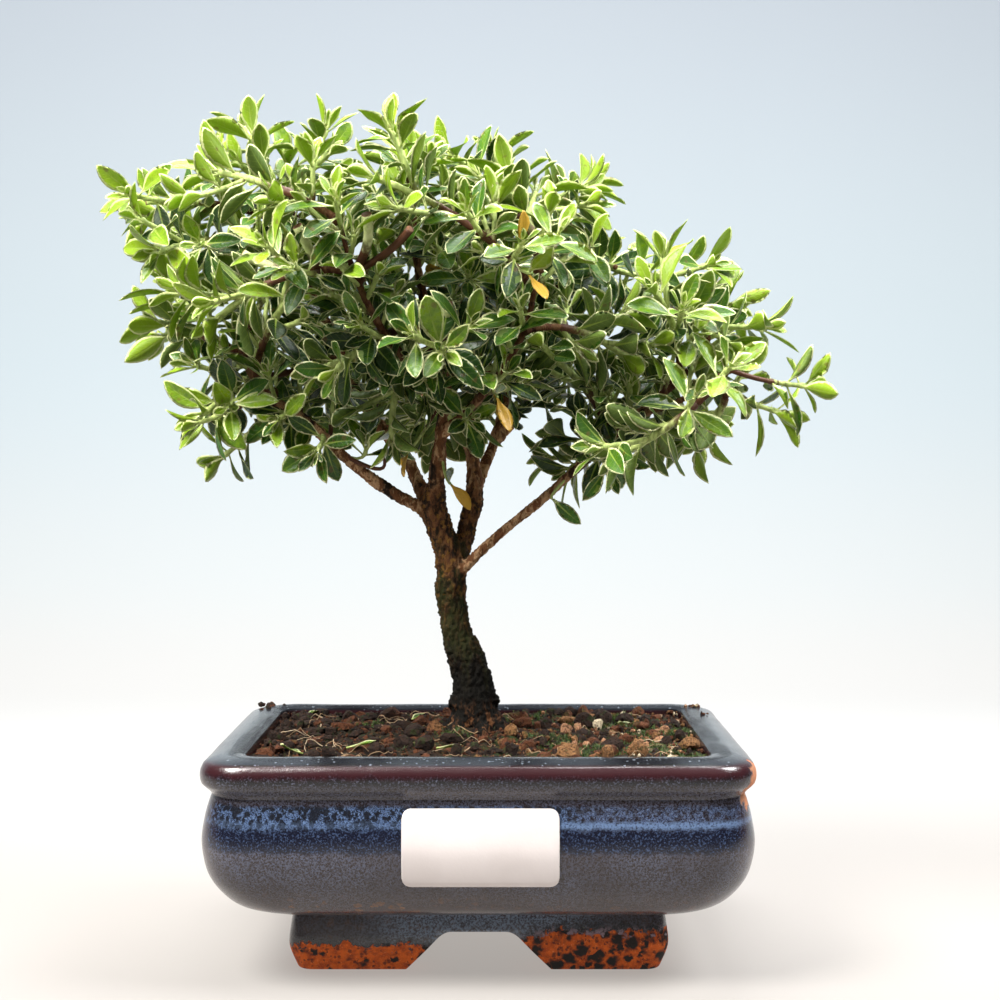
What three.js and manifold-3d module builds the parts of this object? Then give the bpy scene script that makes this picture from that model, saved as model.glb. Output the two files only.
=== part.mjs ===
// A variegated serissa trained as a small bonsai, in a glazed rectangular pot with four feet.
// Millimetres, +Z up, +Y towards the back of the tree. The tree and its pot are laid out about the
// pot's own centre, and the whole is moved at the end so that the origin lies on the surface it
// stands on, under the middle of its box.
//
// The tree grows in this order: the trunk and its limbs follow routes set by hand; shoot tips are
// spread over the outside of the canopy; each tip is joined to the wood by a twig; the last stretch
// of the twig is a green leafy spray; side shoots and leaves are set on it wherever they are clear
// of what has already grown.
import * as THREE from "three";
import { mergeVertices } from "three/addons/utils/BufferGeometryUtils.js";
import Module from "manifold-3d";

// ---------------------------------------------------------------- driving dimensions

// Clearance between pieces that touch in the real thing.
const TOUCH_GAP = 0.3;

const POT = {
  width: 155,
  depth: 118,
  cornerSteps: 4,
  // The outside, from the foot ring up and over the rim: [inset from the widest, height, corner].
  outside: [
    [23.5, 17, 9],
    [15.5, 18.3, 12],
    [9, 21, 14],
    [4.4, 25.4, 15.5],
    [1.4, 31, 16],
    [0, 39, 16],
    [0.8, 46.5, 15.5],
    [2.8, 53.2, 13.5],
    [0.5, 55.8, 13],
    [0.1, 60.4, 13],
    [1.8, 62.7, 12],
    [6, 64, 10],
    [11, 63.8, 7],
  ],
  // The inside, from the rim down to the floor.
  inside: [
    [12.2, 62.6, 6],
    [13.2, 43, 6.5],
    [16.5, 31, 8],
    [22, 25.5, 8],
  ],
  // The outside of the foot ring, from the ground up, and its hollow: [inset, height].
  foot: [
    [25.2, 0],
    [23, 6.8],
    [24.2, 17.6],
  ],
  footCorner: 5,
  hollow: { inset: 34, corner: 3, height: 18 },
  // Arches between the feet: half widths at the ground and at the top, and the rounded corners.
  archFront: { ground: 21.8, top: 10 },
  archSide: { ground: 16.3, top: 7.2 },
  arch: { height: 11.4, shoulder: 9.1, round: 2.2 },
  drain: { radius: 5.5, offset: 28, sides: 16 },
};

const MESH_PLATE = { side: 19, thick: 1, hole: 4.4, pitch: 6, count: 2 };

const LABEL = { width: 43, height: 21.4, centre: [0.8, 40.5], corner: 3, thick: 0.6 };

const SOIL = {
  level: 61.5,
  mound: 4.2, // how much higher it lies at the trunk
  moundRadius: 17,
  edgeDrop: 0.8, // how much lower it lies along the wall
  rings: [0.86, 0.62, 0.38, 0.2], // rings of its top, as shares of the rim
  seed: 71,
  stones: 10,
  stoneSize: [1.5, 3.2],
  stoneFromWall: 5,
  stoneFromTrunk: 13,
};

// The trunk: [x, y, z, radius]. It starts in the soil.
const TRUNK = {
  sides: 9,
  path: [
    [0.4, 0, 48, 4.2],
    [-0.6, 0, 61, 6.6],
    [-1.5, 0, 69, 7],
    [-2.1, 0, 76.8, 6.2],
    [-3.1, 0, 82, 5.7],
    [-4.8, 0, 87.5, 5.5],
    [-6.9, 0, 93, 4.5],
    [-8, 0, 100, 4.2],
    [-9, 0, 106.6, 4.7],
    [-8.7, 0, 112, 4.4],
    [-9.6, -0.4, 118.5, 4.2],
    [-12, -1, 124.5, 3.9],
    [-13.8, -1.6, 131, 3.7],
    [-13.9, -2, 137, 2.9],
  ],
  // At the soil its skin spreads in four soft ridges.
  flare: { height: 62, reach: 20, share: 0.22, ridges: 4 },
  burial: 81, // the hole in the soil follows the trunk up to this height
};

// The limbs: radius at the start and at the end, then the points they pass through.
const LIMBS = [
  {
    name: "low left",
    radii: [2.1, 1.1],
    path: [
      [-13.5, -1, 126.5],
      [-18, -2, 131.5],
      [-25.6, -5, 135.8],
      [-32.3, -8, 140.5],
      [-38.7, -10, 145.5],
      [-44.5, -12, 151.2],
      [-52.8, -14, 159.1],
      [-60, -15, 163.5],
      [-66, -14, 169],
      [-70.2, -12, 177],
    ],
  },
  {
    name: "upper left",
    radii: [2.6, 1.1],
    path: [
      [-14, -0.5, 131.5],
      [-18.8, 5, 138.4],
      [-23, 9, 147.3],
      [-27.5, 12, 152.5],
      [-34, 15, 160],
      [-41, 19, 173],
      [-49, 21, 190],
      [-58, 21, 207],
      [-66, 19, 222],
    ],
  },
  {
    name: "centre front",
    radii: [2.5, 1],
    path: [
      [-13.9, -2, 134],
      [-12.9, -6, 140.7],
      [-12.2, -7.5, 147.3],
      [-10.9, -9, 160.7],
      [-10.3, -11, 169],
      [-12.6, -14, 180],
      [-16.5, -17, 194],
      [-19, -18, 211],
      [-20, -17, 229],
    ],
  },
  {
    name: "second stem",
    radii: [3.4, 1],
    path: [
      [-8.6, 0, 114.5],
      [-4.8, 3.8, 122.1],
      [-3.5, 5, 127.6],
      [-2.2, 6, 133],
      [-1.8, 8, 139],
      [-2.6, 11, 150.7],
      [-2, 13, 160],
      [1, 14, 171],
      [0.5, 13, 183],
      [-0.8, 11, 197],
      [-2.5, 9, 214],
      [-3, 8, 231],
    ],
  },
  {
    name: "right of the second stem",
    radii: [2, 0.9],
    path: [
      [-2, 6, 133],
      [0.8, 14, 142.9],
      [4.5, 20, 152.4],
      [8.6, 24, 168.3],
      [12.5, 26, 185.6],
      [23.9, 24, 199],
      [32.2, 20, 211],
    ],
  },
  {
    name: "low right",
    radii: [1.7, 1],
    path: [
      [-8, -1.2, 110.4],
      [-4, -3.4, 114.2],
      [1.3, -5, 119.5],
      [9.3, -7, 126.6],
      [18.1, -9, 133.8],
      [27.8, -11, 142.5],
      [37.8, -12, 151.2],
      [46.4, -12, 159.2],
      [54.5, -11, 165.7],
      [61.4, -9, 171.8],
      [66.8, -6, 178.5],
      [70.7, -3, 187],
    ],
  },
  {
    name: "outer right",
    radii: [1.2, 0.7],
    path: [
      [46.4, -12, 159.2],
      [56.4, -19, 162.5],
      [63, -24, 165.8],
      [69.4, -28, 169.7],
      [75.4, -30, 174.2],
    ],
  },
  {
    name: "back left",
    radii: [1.8, 0.9],
    path: [
      [-2.6, 11, 150.7],
      [-8, 22, 155],
      [-16, 31, 163],
      [-25, 38, 175],
      [-34, 43, 191],
      [-40, 44, 208],
    ],
  },
  {
    name: "back right",
    radii: [1.6, 0.9],
    path: [
      [4.5, 20, 152.4],
      [11, 30, 159],
      [17, 38, 171],
      [21, 42, 187],
      [22, 42, 203],
    ],
  },
  {
    name: "front right",
    radii: [1.5, 0.8],
    path: [
      [-11.5, -8.2, 154],
      [-3, -17, 161],
      [6, -26, 171],
      [13, -33, 183],
      [17, -37, 199],
    ],
  },
  {
    name: "front left",
    radii: [1.6, 0.8],
    path: [
      [-10.4, -10.5, 167],
      [-19, -21, 173],
      [-28, -31, 184],
      [-35, -38, 199],
      [-39, -40, 213],
    ],
  },
];

// The canopy is the union of these blobs, near whose skin the shoot tips lie: centre, half sizes.
const CANOPY = [
  { centre: [-79, 0, 218], half: [26, 38, 24] },
  { centre: [-25, 0, 215], half: [45, 54, 29] },
  { centre: [22, 0, 215], half: [19, 40, 22] },
  { centre: [56, -4, 190], half: [24, 32, 22] },
  { centre: [74, -6, 172], half: [13, 20, 13] },
  { centre: [-84, -5, 182], half: [20, 26, 15] },
  { centre: [-25, 0, 185], half: [55, 54, 26] },
  { centre: [28, -4, 164], half: [27, 38, 21] },
  { centre: [42, -6, 151], half: [22, 26, 15] },
  { centre: [-10, -4, 157], half: [22, 34, 12] },
  { centre: [-70, -6, 161], half: [16, 22, 13] },
];

const SPRAYS = {
  count: 42,
  seed: 34,
  candidates: 26, // positions tried for each tip, of which the loneliest is kept
  skin: [0.82, 1], // how far out in a blob the tips lie
  heights: [-0.75, 1], // and how low and high
  lowestTwig: 131,
  shortest: 24, // a twig shorter than this is taken only if there is no other
  choices: 60, // places on the wood tried for each tip
  greenLength: 31, // the end of a twig that is green, at most,
  greenShare: 0.62, // and as a share of the twig
  twigRadii: [0.8, 1], // at the wood and where it turns green
  mainRadii: [1, 0.8], // from there to the tip
  sideRadii: [0.55, 0.8],
  shootLength: [13, 18], // side shoots: length, places on the main one, and turns tried
  shootPlaces: [0.36, 0.66],
  shootSwings: [0, 40, -40, 80, -80, 120],
  shootAngle: THREE.MathUtils.degToRad(46),
  cutEvery: 6, // one spray in this many ends in a pruned stub
  weld: 0.02, // points closer than this become one
};

const LEAF = {
  length: 14.5,
  widthShare: 0.42,
  thick: 0.8, // at the rib
  fold: 0.1, // how far the rims stand up, as a share of the width
  shoulders: [0.34, 0.7], // the rim's corners, as shares of the length
  node: 1.3, // the stretch of stem that a pair springs from
  // Pairs from the tip down: how far back from the tip, how wide open, and how large.
  mainPairs: [
    { back: 0, opening: 32, size: 0.85 },
    { back: 1.3, opening: 62, size: 1.05 },
    { back: 9, opening: 66, size: 1.05 },
  ],
  cutPairs: [
    { back: 4, opening: 52, size: 0.95 },
    { back: 10, opening: 66, size: 1.05 },
  ],
  sidePairs: [
    { back: 0, opening: 32, size: 0.85 },
    { back: 1.3, opening: 64, size: 1 },
  ],
  // Other openings and turns that a leaf may take to be clear.
  tries: [[0, 0], [12, 0], [-12, 0], [0, 25], [0, -25], [14, 30], [14, -30], [-14, 40]],
};

// Distances between check points, which lie about 3 apart on a blade and 2 apart on a stem.
const CLEAR = {
  stemToStem: 2.4,
  shootToOther: 3.4,
  shootInSpray: 1,
  leafToLeaf: 3.3,
  leafInSpray: 2.2,
  leafInShoot: 1.7,
  leafToStem: 2,
  leafToOwnStem: 1.2,
  most: 12,
};

const COLOURS = {
  glaze: 0x2b3350,
  soil: 0x3d2a1e,
  plastic: 0x20262a,
  paper: 0xf4efec,
  bark: 0x4a3323,
  foliage: 0x4f7a2a,
};

// ---------------------------------------------------------------- small mathematics

const UP = new THREE.Vector3(0, 0, 1);
const vec = (a) => new THREE.Vector3(a[0], a[1], a[2]);

// A repeatable stream of numbers from 0 to 1, one for each seed.
function stream(seed) {
  const modulus = 4294967296;
  let state = (seed * 2654435 + 12345) % modulus;
  const next = () => {
    state = (state * 1664525 + 1013904223) % modulus;
    return state / modulus;
  };
  for (let i = 0; i < 3; i++) next();
  return next;
}

const between = (random, low, high) => low + (high - low) * random();

// A unit vector square to the given direction, lying level unless the direction is upright.
function sideOf(direction) {
  const side = direction.clone().cross(UP);
  if (side.length() < 0.15) side.copy(direction).cross(new THREE.Vector3(1, 0, 0));
  return side.normalize();
}

const turned = (vector, axis, degrees) =>
  vector.clone().applyAxisAngle(axis, (degrees * Math.PI) / 180);

// A quadratic curve: start, control point, end.
const alongCurve = (curve, t) =>
  curve[0]
    .clone()
    .multiplyScalar((1 - t) * (1 - t))
    .addScaledVector(curve[1], 2 * t * (1 - t))
    .addScaledVector(curve[2], t * t);

const curveDirection = (curve, t) =>
  curve[1]
    .clone()
    .sub(curve[0])
    .multiplyScalar(1 - t)
    .addScaledVector(curve[2].clone().sub(curve[1]), t)
    .normalize();

// ---------------------------------------------------------------- solids

const wasm = await Module();
wasm.setup();

// A closed three.js geometry as a solid that can be joined and cut.
function solid(geometry) {
  const bare = geometry.index ? geometry.toNonIndexed() : geometry;
  const plain = new THREE.BufferGeometry().setAttribute("position", bare.getAttribute("position"));
  const merged = mergeVertices(plain, 1e-4);
  return new wasm.Manifold(
    new wasm.Mesh({
      numProp: 3,
      vertProperties: new Float32Array(merged.attributes.position.array),
      triVerts: new Uint32Array(merged.index.array),
    }),
  );
}

// A solid as a named mesh in its own material.
function piece(name, made, material) {
  const mesh = made.getMesh();
  const position = new Float32Array(mesh.numVert * 3);
  for (let i = 0; i < mesh.numVert; i++) {
    position.set(mesh.vertProperties.subarray(i * mesh.numProp, i * mesh.numProp + 3), i * 3);
  }
  const geometry = new THREE.BufferGeometry()
    .setAttribute("position", new THREE.BufferAttribute(position, 3))
    .setIndex(new THREE.BufferAttribute(new Uint32Array(mesh.triVerts), 1));
  geometry.computeVertexNormals();
  const result = new THREE.Mesh(geometry, material);
  result.name = name;
  return result;
}

// A solid with the points that lie closer together than this made one, so that joining leaves no
// sliver in it.
function welded(made, gap) {
  const mesh = made.getMesh();
  const points = Array.from({ length: mesh.numVert }, (_, i) => {
    const at = i * mesh.numProp;
    return new THREE.Vector3(...mesh.vertProperties.subarray(at, at + 3));
  });
  const same = points.map((_, i) => i);
  const first = (i) => (same[i] === i ? i : first(same[i]));
  for (let i = 0; i < mesh.triVerts.length; i++) {
    const [from, to] = [mesh.triVerts[i], mesh.triVerts[i % 3 === 2 ? i - 2 : i + 1]];
    if (points[from].distanceTo(points[to]) < gap) {
      same[Math.max(first(from), first(to))] = Math.min(first(from), first(to));
    }
  }
  const faces = [];
  for (let i = 0; i < mesh.triVerts.length; i += 3) {
    const [a, b, c] = [0, 1, 2].map((k) => first(mesh.triVerts[i + k]));
    if (a !== b && b !== c && c !== a) faces.push(a, b, c);
  }
  return solid(new THREE.BufferGeometry().setFromPoints(points).setIndex(faces));
}

// The largest connected body of a solid: what a cut leaves loose is dropped.
function mainBody(made) {
  return made.decompose().reduce((a, b) => (a.volume() > b.volume() ? a : b));
}

// A closed skin over rings of equal count, each a list of points going round, capped at both ends.
function skin(rings) {
  const count = rings[0].length;
  const last = rings.length - 1;
  const faces = [];
  const at = (ring, i) => ring * count + (i % count);
  for (let ring = 0; ring < last; ring++) {
    for (let i = 0; i < count; i++) {
      faces.push(at(ring, i), at(ring, i + 1), at(ring + 1, i + 1));
      faces.push(at(ring, i), at(ring + 1, i + 1), at(ring + 1, i));
    }
  }
  for (let i = 1; i + 1 < count; i++) {
    faces.push(at(0, 0), at(0, i + 1), at(0, i));
    faces.push(at(last, 0), at(last, i), at(last, i + 1));
  }
  return new THREE.BufferGeometry().setFromPoints(rings.flat()).setIndex(faces);
}

// A closed tube over points with directions and radii. swell(ring, angle) scales the radius.
function tube(points, directions, radii, sides, swell = () => 1) {
  let side = sideOf(directions[0]);
  const rings = points.map((point, i) => {
    const direction = directions[i];
    side = side.clone().addScaledVector(direction, -side.dot(direction)).normalize();
    const other = direction.clone().cross(side);
    return Array.from({ length: sides }, (_, k) => {
      const angle = (k / sides) * 2 * Math.PI;
      const radius = radii[i] * swell(i, angle);
      return point
        .clone()
        .addScaledVector(side, radius * Math.cos(angle))
        .addScaledVector(other, radius * Math.sin(angle));
    });
  });
  return skin(rings);
}

// The direction of a route at each of its points.
const routeDirections = (points) =>
  points.map((_, i) => {
    const ahead = points[Math.min(i + 1, points.length - 1)];
    return ahead.clone().sub(points[Math.max(i - 1, 0)]).normalize();
  });

// ---------------------------------------------------------------- the pot and what is in it

// A rounded rectangle, going round anticlockwise from above.
function roundedRing(halfX, halfY, corner, z, steps = POT.cornerSteps) {
  const points = [];
  const corners = [
    [1, 1],
    [-1, 1],
    [-1, -1],
    [1, -1],
  ];
  corners.forEach(([sx, sy], quarter) => {
    for (let i = 0; i <= steps; i++) {
      const angle = ((quarter + i / steps) * Math.PI) / 2;
      points.push(
        new THREE.Vector3(
          sx * (halfX - corner) + corner * Math.cos(angle),
          sy * (halfY - corner) + corner * Math.sin(angle),
          z,
        ),
      );
    }
  });
  return points;
}

const potRing = ([inset, z, corner], more = 0) =>
  roundedRing(POT.width / 2 - inset - more, POT.depth / 2 - inset - more, corner, z);

// How far the outside of the pot stands in from its widest at a height.
function potInset(z) {
  const rows = POT.outside;
  const i = rows.findIndex((row) => row[1] >= z);
  const [low, high] = [rows[i - 1], rows[i]];
  return low[0] + ((high[0] - low[0]) * (z - low[1])) / (high[1] - low[1]);
}

// The arch between two feet, as a bar that runs right through the pot along Y.
function archBar({ ground, top }) {
  const { height, shoulder, round } = POT.arch;
  const outline = new THREE.Shape();
  outline.moveTo(-ground, -1);
  outline.lineTo(ground, -1);
  outline.lineTo(top + round, shoulder);
  outline.quadraticCurveTo(top, height, top - round, height);
  outline.lineTo(round - top, height);
  outline.quadraticCurveTo(-top, height, -top - round, shoulder);
  outline.closePath();
  const reach = POT.width;
  const bar = new THREE.ExtrudeGeometry(outline, {
    depth: reach,
    bevelEnabled: false,
    curveSegments: 3,
  });
  return bar.rotateX(Math.PI / 2).translate(0, reach / 2, 0);
}

// A short upright bar, round in plan.
const uprightBar = (radius, sides, height, x, y, z) =>
  new THREE.CylinderGeometry(radius, radius, height, sides).rotateX(Math.PI / 2).translate(x, y, z);

function potSolid() {
  const { inset, corner, height } = POT.hollow;
  const bowl = solid(skin([...POT.outside, ...POT.inside].map((row) => potRing(row))));
  const ring = solid(skin(POT.foot.map((row) => potRing([...row, POT.footCorner]))));
  const hollow = solid(skin([-1, height].map((z) => potRing([inset, z, corner]))));
  const feet = ring
    .subtract(hollow)
    .subtract(solid(archBar(POT.archFront)))
    .subtract(solid(archBar(POT.archSide).rotateZ(Math.PI / 2)));
  const { radius, offset, sides } = POT.drain;
  const drains = [-offset, offset].map((x) => solid(uprightBar(radius, sides, 20, x, 0, 20)));
  return drains.reduce((made, drain) => made.subtract(drain), bowl.add(feet));
}

// A square of plastic drainage mesh on the floor of the pot, over a drain hole.
function meshPlate(x) {
  const { side, thick, hole, pitch, count } = MESH_PLATE;
  const places = Array.from({ length: count }, (_, i) => (i - (count - 1) / 2) * pitch);
  const holes = places.flatMap((cx) =>
    places.map((cy) => solid(new THREE.BoxGeometry(hole, hole, 3 * thick).translate(cx, cy, 0))),
  );
  return holes
    .reduce((rest, cut) => rest.subtract(cut), solid(new THREE.BoxGeometry(side, side, thick)))
    .translate([x, 0, POT.inside.at(-1)[1] + TOUCH_GAP + thick / 2]);
}

// A blank paper label on the front of the pot, bent to its belly.
function labelSolid() {
  const { width, height, centre, corner, thick } = LABEL;
  const rows = [-0.5, -0.38, -0.2, 0, 0.2, 0.38, 0.5].map((share) => {
    const z = centre[1] + share * height;
    const short = Math.abs(share) > 0.45 ? corner * 0.8 : 0;
    const [left, right] = [centre[0] - width / 2 + short, centre[0] + width / 2 - short];
    const back = -POT.depth / 2 + potInset(z) - TOUCH_GAP;
    return [
      new THREE.Vector3(left, back, z),
      new THREE.Vector3(left, back - thick, z),
      new THREE.Vector3(right, back - thick, z),
      new THREE.Vector3(right, back, z),
    ];
  });
  return solid(skin(rows));
}

// The height of the soil: gentle lumps, and a mound at the foot of the trunk.
function soilHeight(x, y) {
  const waves = 0.7 * Math.sin(0.21 * x + 1) * Math.cos(0.26 * y);
  const ripples = 0.4 * Math.sin(0.47 * x - 0.39 * y);
  const away = Math.hypot(x - TRUNK.path[2][0], y) / SOIL.moundRadius;
  return SOIL.level + waves + ripples + SOIL.mound * Math.exp(-away * away);
}

// The trunk as a skin, let out by a margin, up to a height.
function trunkSkin(margin = 0, ceiling = Infinity) {
  const { flare, sides } = TRUNK;
  const rows = TRUNK.path.filter((row) => row[2] <= ceiling);
  const points = rows.map(vec);
  const swell = (i, angle) => {
    const near = Math.max(0, 1 - Math.abs(rows[i][2] - flare.height) / flare.reach);
    const ridges = flare.share * near * Math.cos(flare.ridges * angle + 0.6);
    return 1 + ridges + 0.05 * Math.sin(3 * angle + i * 1.7);
  };
  return tube(points, routeDirections(points), rows.map((row) => row[3] + margin), sides, swell);
}

// The block of soil that fills the pot, before the stones and the holes.
function soilBlock() {
  const [wall, shoulder, toe, floor] = POT.inside;
  const rim = potRing(wall, TOUCH_GAP + 0.1);
  const sides = [
    potRing([floor[0], floor[1] + TOUCH_GAP, floor[2]], TOUCH_GAP),
    potRing(toe, TOUCH_GAP),
    potRing(shoulder, TOUCH_GAP),
    rim.map((p) => new THREE.Vector3(p.x, p.y, soilHeight(p.x, p.y) - SOIL.edgeDrop)),
  ];
  const top = SOIL.rings.map((share) =>
    rim.map((p) => {
      const [x, y] = [p.x * share, p.y * share];
      return new THREE.Vector3(x, y, soilHeight(x, y));
    }),
  );
  return solid(skin([...sides, ...top]));
}

// The stones that lie in the soil, away from the trunk.
function soilStones() {
  const random = stream(SOIL.seed);
  const [halfX, halfY] = [POT.width, POT.depth].map(
    (size) => size / 2 - POT.inside[0][0] - SOIL.stoneFromWall,
  );
  const stones = [];
  for (let i = 0; i < SOIL.stones; i++) {
    const x = between(random, -halfX, halfX);
    const y = between(random, -halfY, halfY);
    const size = between(random, ...SOIL.stoneSize);
    const stone = new THREE.IcosahedronGeometry(size)
      .scale(1.2, 0.9, 0.75)
      .rotateZ(between(random, 0, 3))
      .translate(x, y, soilHeight(x, y) + 0.25 * size);
    if (Math.hypot(x - TRUNK.path[2][0], y) > SOIL.stoneFromTrunk) stones.push(solid(stone));
  }
  return stones;
}

function soilSolid() {
  const floor = POT.inside.at(-1)[1];
  const { side, thick } = MESH_PLATE;
  const room = side + 2 * TOUCH_GAP;
  const ceiling = floor + thick + 2 * TOUCH_GAP;
  const plates = [-POT.drain.offset, POT.drain.offset].map((x) =>
    solid(new THREE.BoxGeometry(room, room, 4).translate(x, 0, ceiling - 2)),
  );
  const [x, y, z, radius] = TRUNK.path[0];
  const holes = [
    ...plates,
    solid(trunkSkin(TOUCH_GAP + 0.15, TRUNK.burial)),
    solid(uprightBar(radius + 0.6, 12, 1.2, x, y, z - 0.1)),
  ];
  const filled = soilStones().reduce((made, stone) => made.add(stone), soilBlock());
  return mainBody(holes.reduce((rest, hole) => rest.subtract(hole), filled));
}

// ---------------------------------------------------------------- how the tree grows

// Check points that keep growing pieces clear of each other: where, radius, and whose they are.
// The wood is spray -1.
const grown = [];
const mark = (point, radius, kind, spray = -1, shoot = -1) =>
  grown.push({ point, radius, kind, spray, shoot });

// Whether the points keep the distance that need(other) asks from everything grown so far.
function isClear(points, need) {
  const middle = points[points.length >> 1];
  const reach = Math.max(...points.map((point) => point.distanceTo(middle))) + CLEAR.most;
  return !grown.some((other) => {
    if (other.point.distanceTo(middle) > reach) return false;
    const least = need(other);
    return points.some((point) => point.distanceTo(other.point) < least);
  });
}

// The wood that twigs can spring from: points with directions.
function limbNodes() {
  const nodes = [];
  TRUNK.path.forEach((row) => mark(vec(row), row[3], "stem"));
  for (const limb of LIMBS) {
    const points = limb.path.map(vec);
    const last = points.length - 1;
    const radiusAt = (share) => limb.radii[0] + (limb.radii[1] - limb.radii[0]) * share;
    for (let i = 0; i < last; i++) {
      const direction = points[i + 1].clone().sub(points[i]);
      const steps = Math.max(1, Math.round(direction.length() / 5));
      direction.normalize();
      for (let k = 0; k < steps; k++) {
        const point = points[i].clone().lerp(points[i + 1], k / steps);
        mark(point, radiusAt((i + k / steps) / last), "stem");
        if (point.z > SPRAYS.lowestTwig && i > 2) nodes.push({ point, direction });
      }
    }
    mark(points[last], limb.radii[1], "stem");
    const direction = points[last].clone().sub(points[last - 1]).normalize();
    nodes.push({ point: points[last], direction });
  }
  return nodes;
}

// How deep a point lies in a blob of the canopy: 0 at its middle, 1 on its skin.
const depthIn = (blob, point) =>
  Math.hypot(...["x", "y", "z"].map((axis, i) => (point[axis] - blob.centre[i]) / blob.half[i]));

// Shoot tips, spread over the outside of the canopy.
function shootTips() {
  const random = stream(SPRAYS.seed);
  const tips = [];
  while (tips.length < SPRAYS.count) {
    let best = null;
    for (let i = 0; i < SPRAYS.candidates; i++) {
      const blob = CANOPY[Math.floor(random() * CANOPY.length)];
      const height = between(random, ...SPRAYS.heights);
      const turn = between(random, 0, 2 * Math.PI);
      const reach = between(random, ...SPRAYS.skin);
      const level = Math.sqrt(1 - height * height);
      const point = new THREE.Vector3(
        blob.centre[0] + blob.half[0] * reach * level * Math.cos(turn),
        blob.centre[1] + blob.half[1] * reach * level * Math.sin(turn),
        blob.centre[2] + blob.half[2] * reach * height,
      );
      if (CANOPY.some((other) => other !== blob && depthIn(other, point) < 0.82)) continue;
      const lonely = Math.min(80, ...tips.map((tip) => tip.distanceTo(point)));
      if (!best || lonely > best.lonely) best = { point, lonely };
    }
    if (best) tips.push(best.point);
  }
  return tips;
}

// The curve of a twig from a place on the wood to a tip, which it meets turning upwards.
function twigCurve(node, tip) {
  const way = tip.clone().sub(node.point);
  const length = way.length();
  const leave = way.divideScalar(length).addScaledVector(node.direction, 0.8).normalize();
  const control = node.point.clone().addScaledVector(leave, 0.5 * length);
  control.z -= 0.1 * length;
  return [node.point, control, tip];
}

// Joins each tip to the wood, nearest tips first, and lets later twigs spring from earlier ones.
function growTwigs(nodes) {
  const nearest = (tip) => Math.min(...nodes.map((node) => node.point.distanceTo(tip)));
  const tips = shootTips().map((tip) => ({ tip, near: nearest(tip) }));
  tips.sort((a, b) => a.near - b.near);
  const sprays = [];
  tips.forEach(({ tip }) => {
    const choices = nodes
      .map((node) => {
        const way = tip.clone().sub(node.point);
        const length = way.length();
        const bend = 1 - way.dot(node.direction) / length;
        const short = length < SPRAYS.shortest ? 60 : 0;
        return { node, length, cost: length * (1 + 0.6 * bend) + short };
      })
      .sort((a, b) => a.cost - b.cost);
    for (const { node, length } of choices.slice(0, SPRAYS.choices)) {
      const curve = twigCurve(node, tip);
      const points = [];
      for (let t = 0.14; t < 1.001; t += 2 / length) points.push(alongCurve(curve, t));
      if (!isClear(points, (other) => other.radius + CLEAR.stemToStem)) continue;
      const index = sprays.length;
      const start = Math.max(1 - SPRAYS.greenShare, 1 - SPRAYS.greenLength / length);
      sprays.push({ curve, start, length, index });
      for (let t = 0.06; t < 1.001; t += 2 / length) {
        mark(alongCurve(curve, t), 0.9, "stem", t < start ? -1 : index, 0);
        if (t > 0.3 && t < start - 5 / length) {
          nodes.push({ point: alongCurve(curve, t), direction: curveDirection(curve, t) });
        }
      }
      break;
    }
  });
  return sprays;
}

// A shoot: its curve, its radii at both ends, and a side to set its leaves by.
function newShoot(curve, radii, phase, place, cut = false) {
  const direction = curveDirection(curve, 0);
  return { curve, radii, ...place, cut, side: turned(sideOf(direction), direction, phase), pairs: [] };
}

// The frame of a shoot at a share of its length: place, direction and two sides.
function shootFrame(shoot, t) {
  const direction = curveDirection(shoot.curve, t);
  const side = shoot.side.clone().addScaledVector(direction, -shoot.side.dot(direction)).normalize();
  return { point: alongCurve(shoot.curve, t), direction, side, other: direction.clone().cross(side) };
}

// The shoots of a spray: its own end first, then side shoots set on that.
function growShoots(spray) {
  const { curve, start, index, length } = spray;
  const random = stream(100 + index);
  const ahead = curveDirection(curve, start);
  const base = alongCurve(curve, start).addScaledVector(ahead, TOUCH_GAP);
  const cut = index % SPRAYS.cutEvery === 2;
  const mainCurve = [base, curve[1].clone().lerp(curve[2], start), curve[2]];
  const ownPlace = { spray: index, shoot: 0 };
  const main = newShoot(mainCurve, SPRAYS.mainRadii, between(random, 0, 90), ownPlace, cut);
  const shoots = [main];
  const green = (1 - start) * length;
  let azimuth = between(random, 0, 360);
  SPRAYS.shootPlaces.forEach((share) => {
    azimuth += 137;
    const { point, direction } = shootFrame(main, share);
    const reach = between(random, ...SPRAYS.shootLength) * (green < 24 ? 0.8 : 1);
    for (const swing of SPRAYS.shootSwings) {
      const out = turned(sideOf(direction), direction, azimuth + swing);
      const leave = direction
        .clone()
        .multiplyScalar(Math.cos(SPRAYS.shootAngle))
        .addScaledVector(out, Math.sin(SPRAYS.shootAngle));
      if (leave.z < -0.45) continue;
      const control = point.clone().addScaledVector(leave, 0.55 * reach);
      const end = point.clone().addScaledVector(leave, reach).addScaledVector(direction, 0.14 * reach);
      end.z += 0.1 * reach;
      const side = [point, control, end];
      const points = [0.4, 0.6, 0.8, 1].map((t) => alongCurve(side, t));
      const need = (other) =>
        other.radius + (other.spray === index ? CLEAR.shootInSpray : CLEAR.shootToOther);
      if (!isClear(points, need)) continue;
      const place = { spray: index, shoot: shoots.length };
      for (const t of [0.35, 0.5, 0.65, 0.8, 1]) {
        mark(alongCurve(side, t), 0.7, "stem", index, place.shoot);
      }
      shoots.push(newShoot(side, SPRAYS.sideRadii, between(random, 0, 90), place));
      break;
    }
  });
  return shoots;
}

// Half width of a leaf at a share of its length, for a leaf one unit wide.
const leafHalf = (s) => 0.5 * Math.sin(Math.PI * s ** 0.86) ** 0.8;

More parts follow.
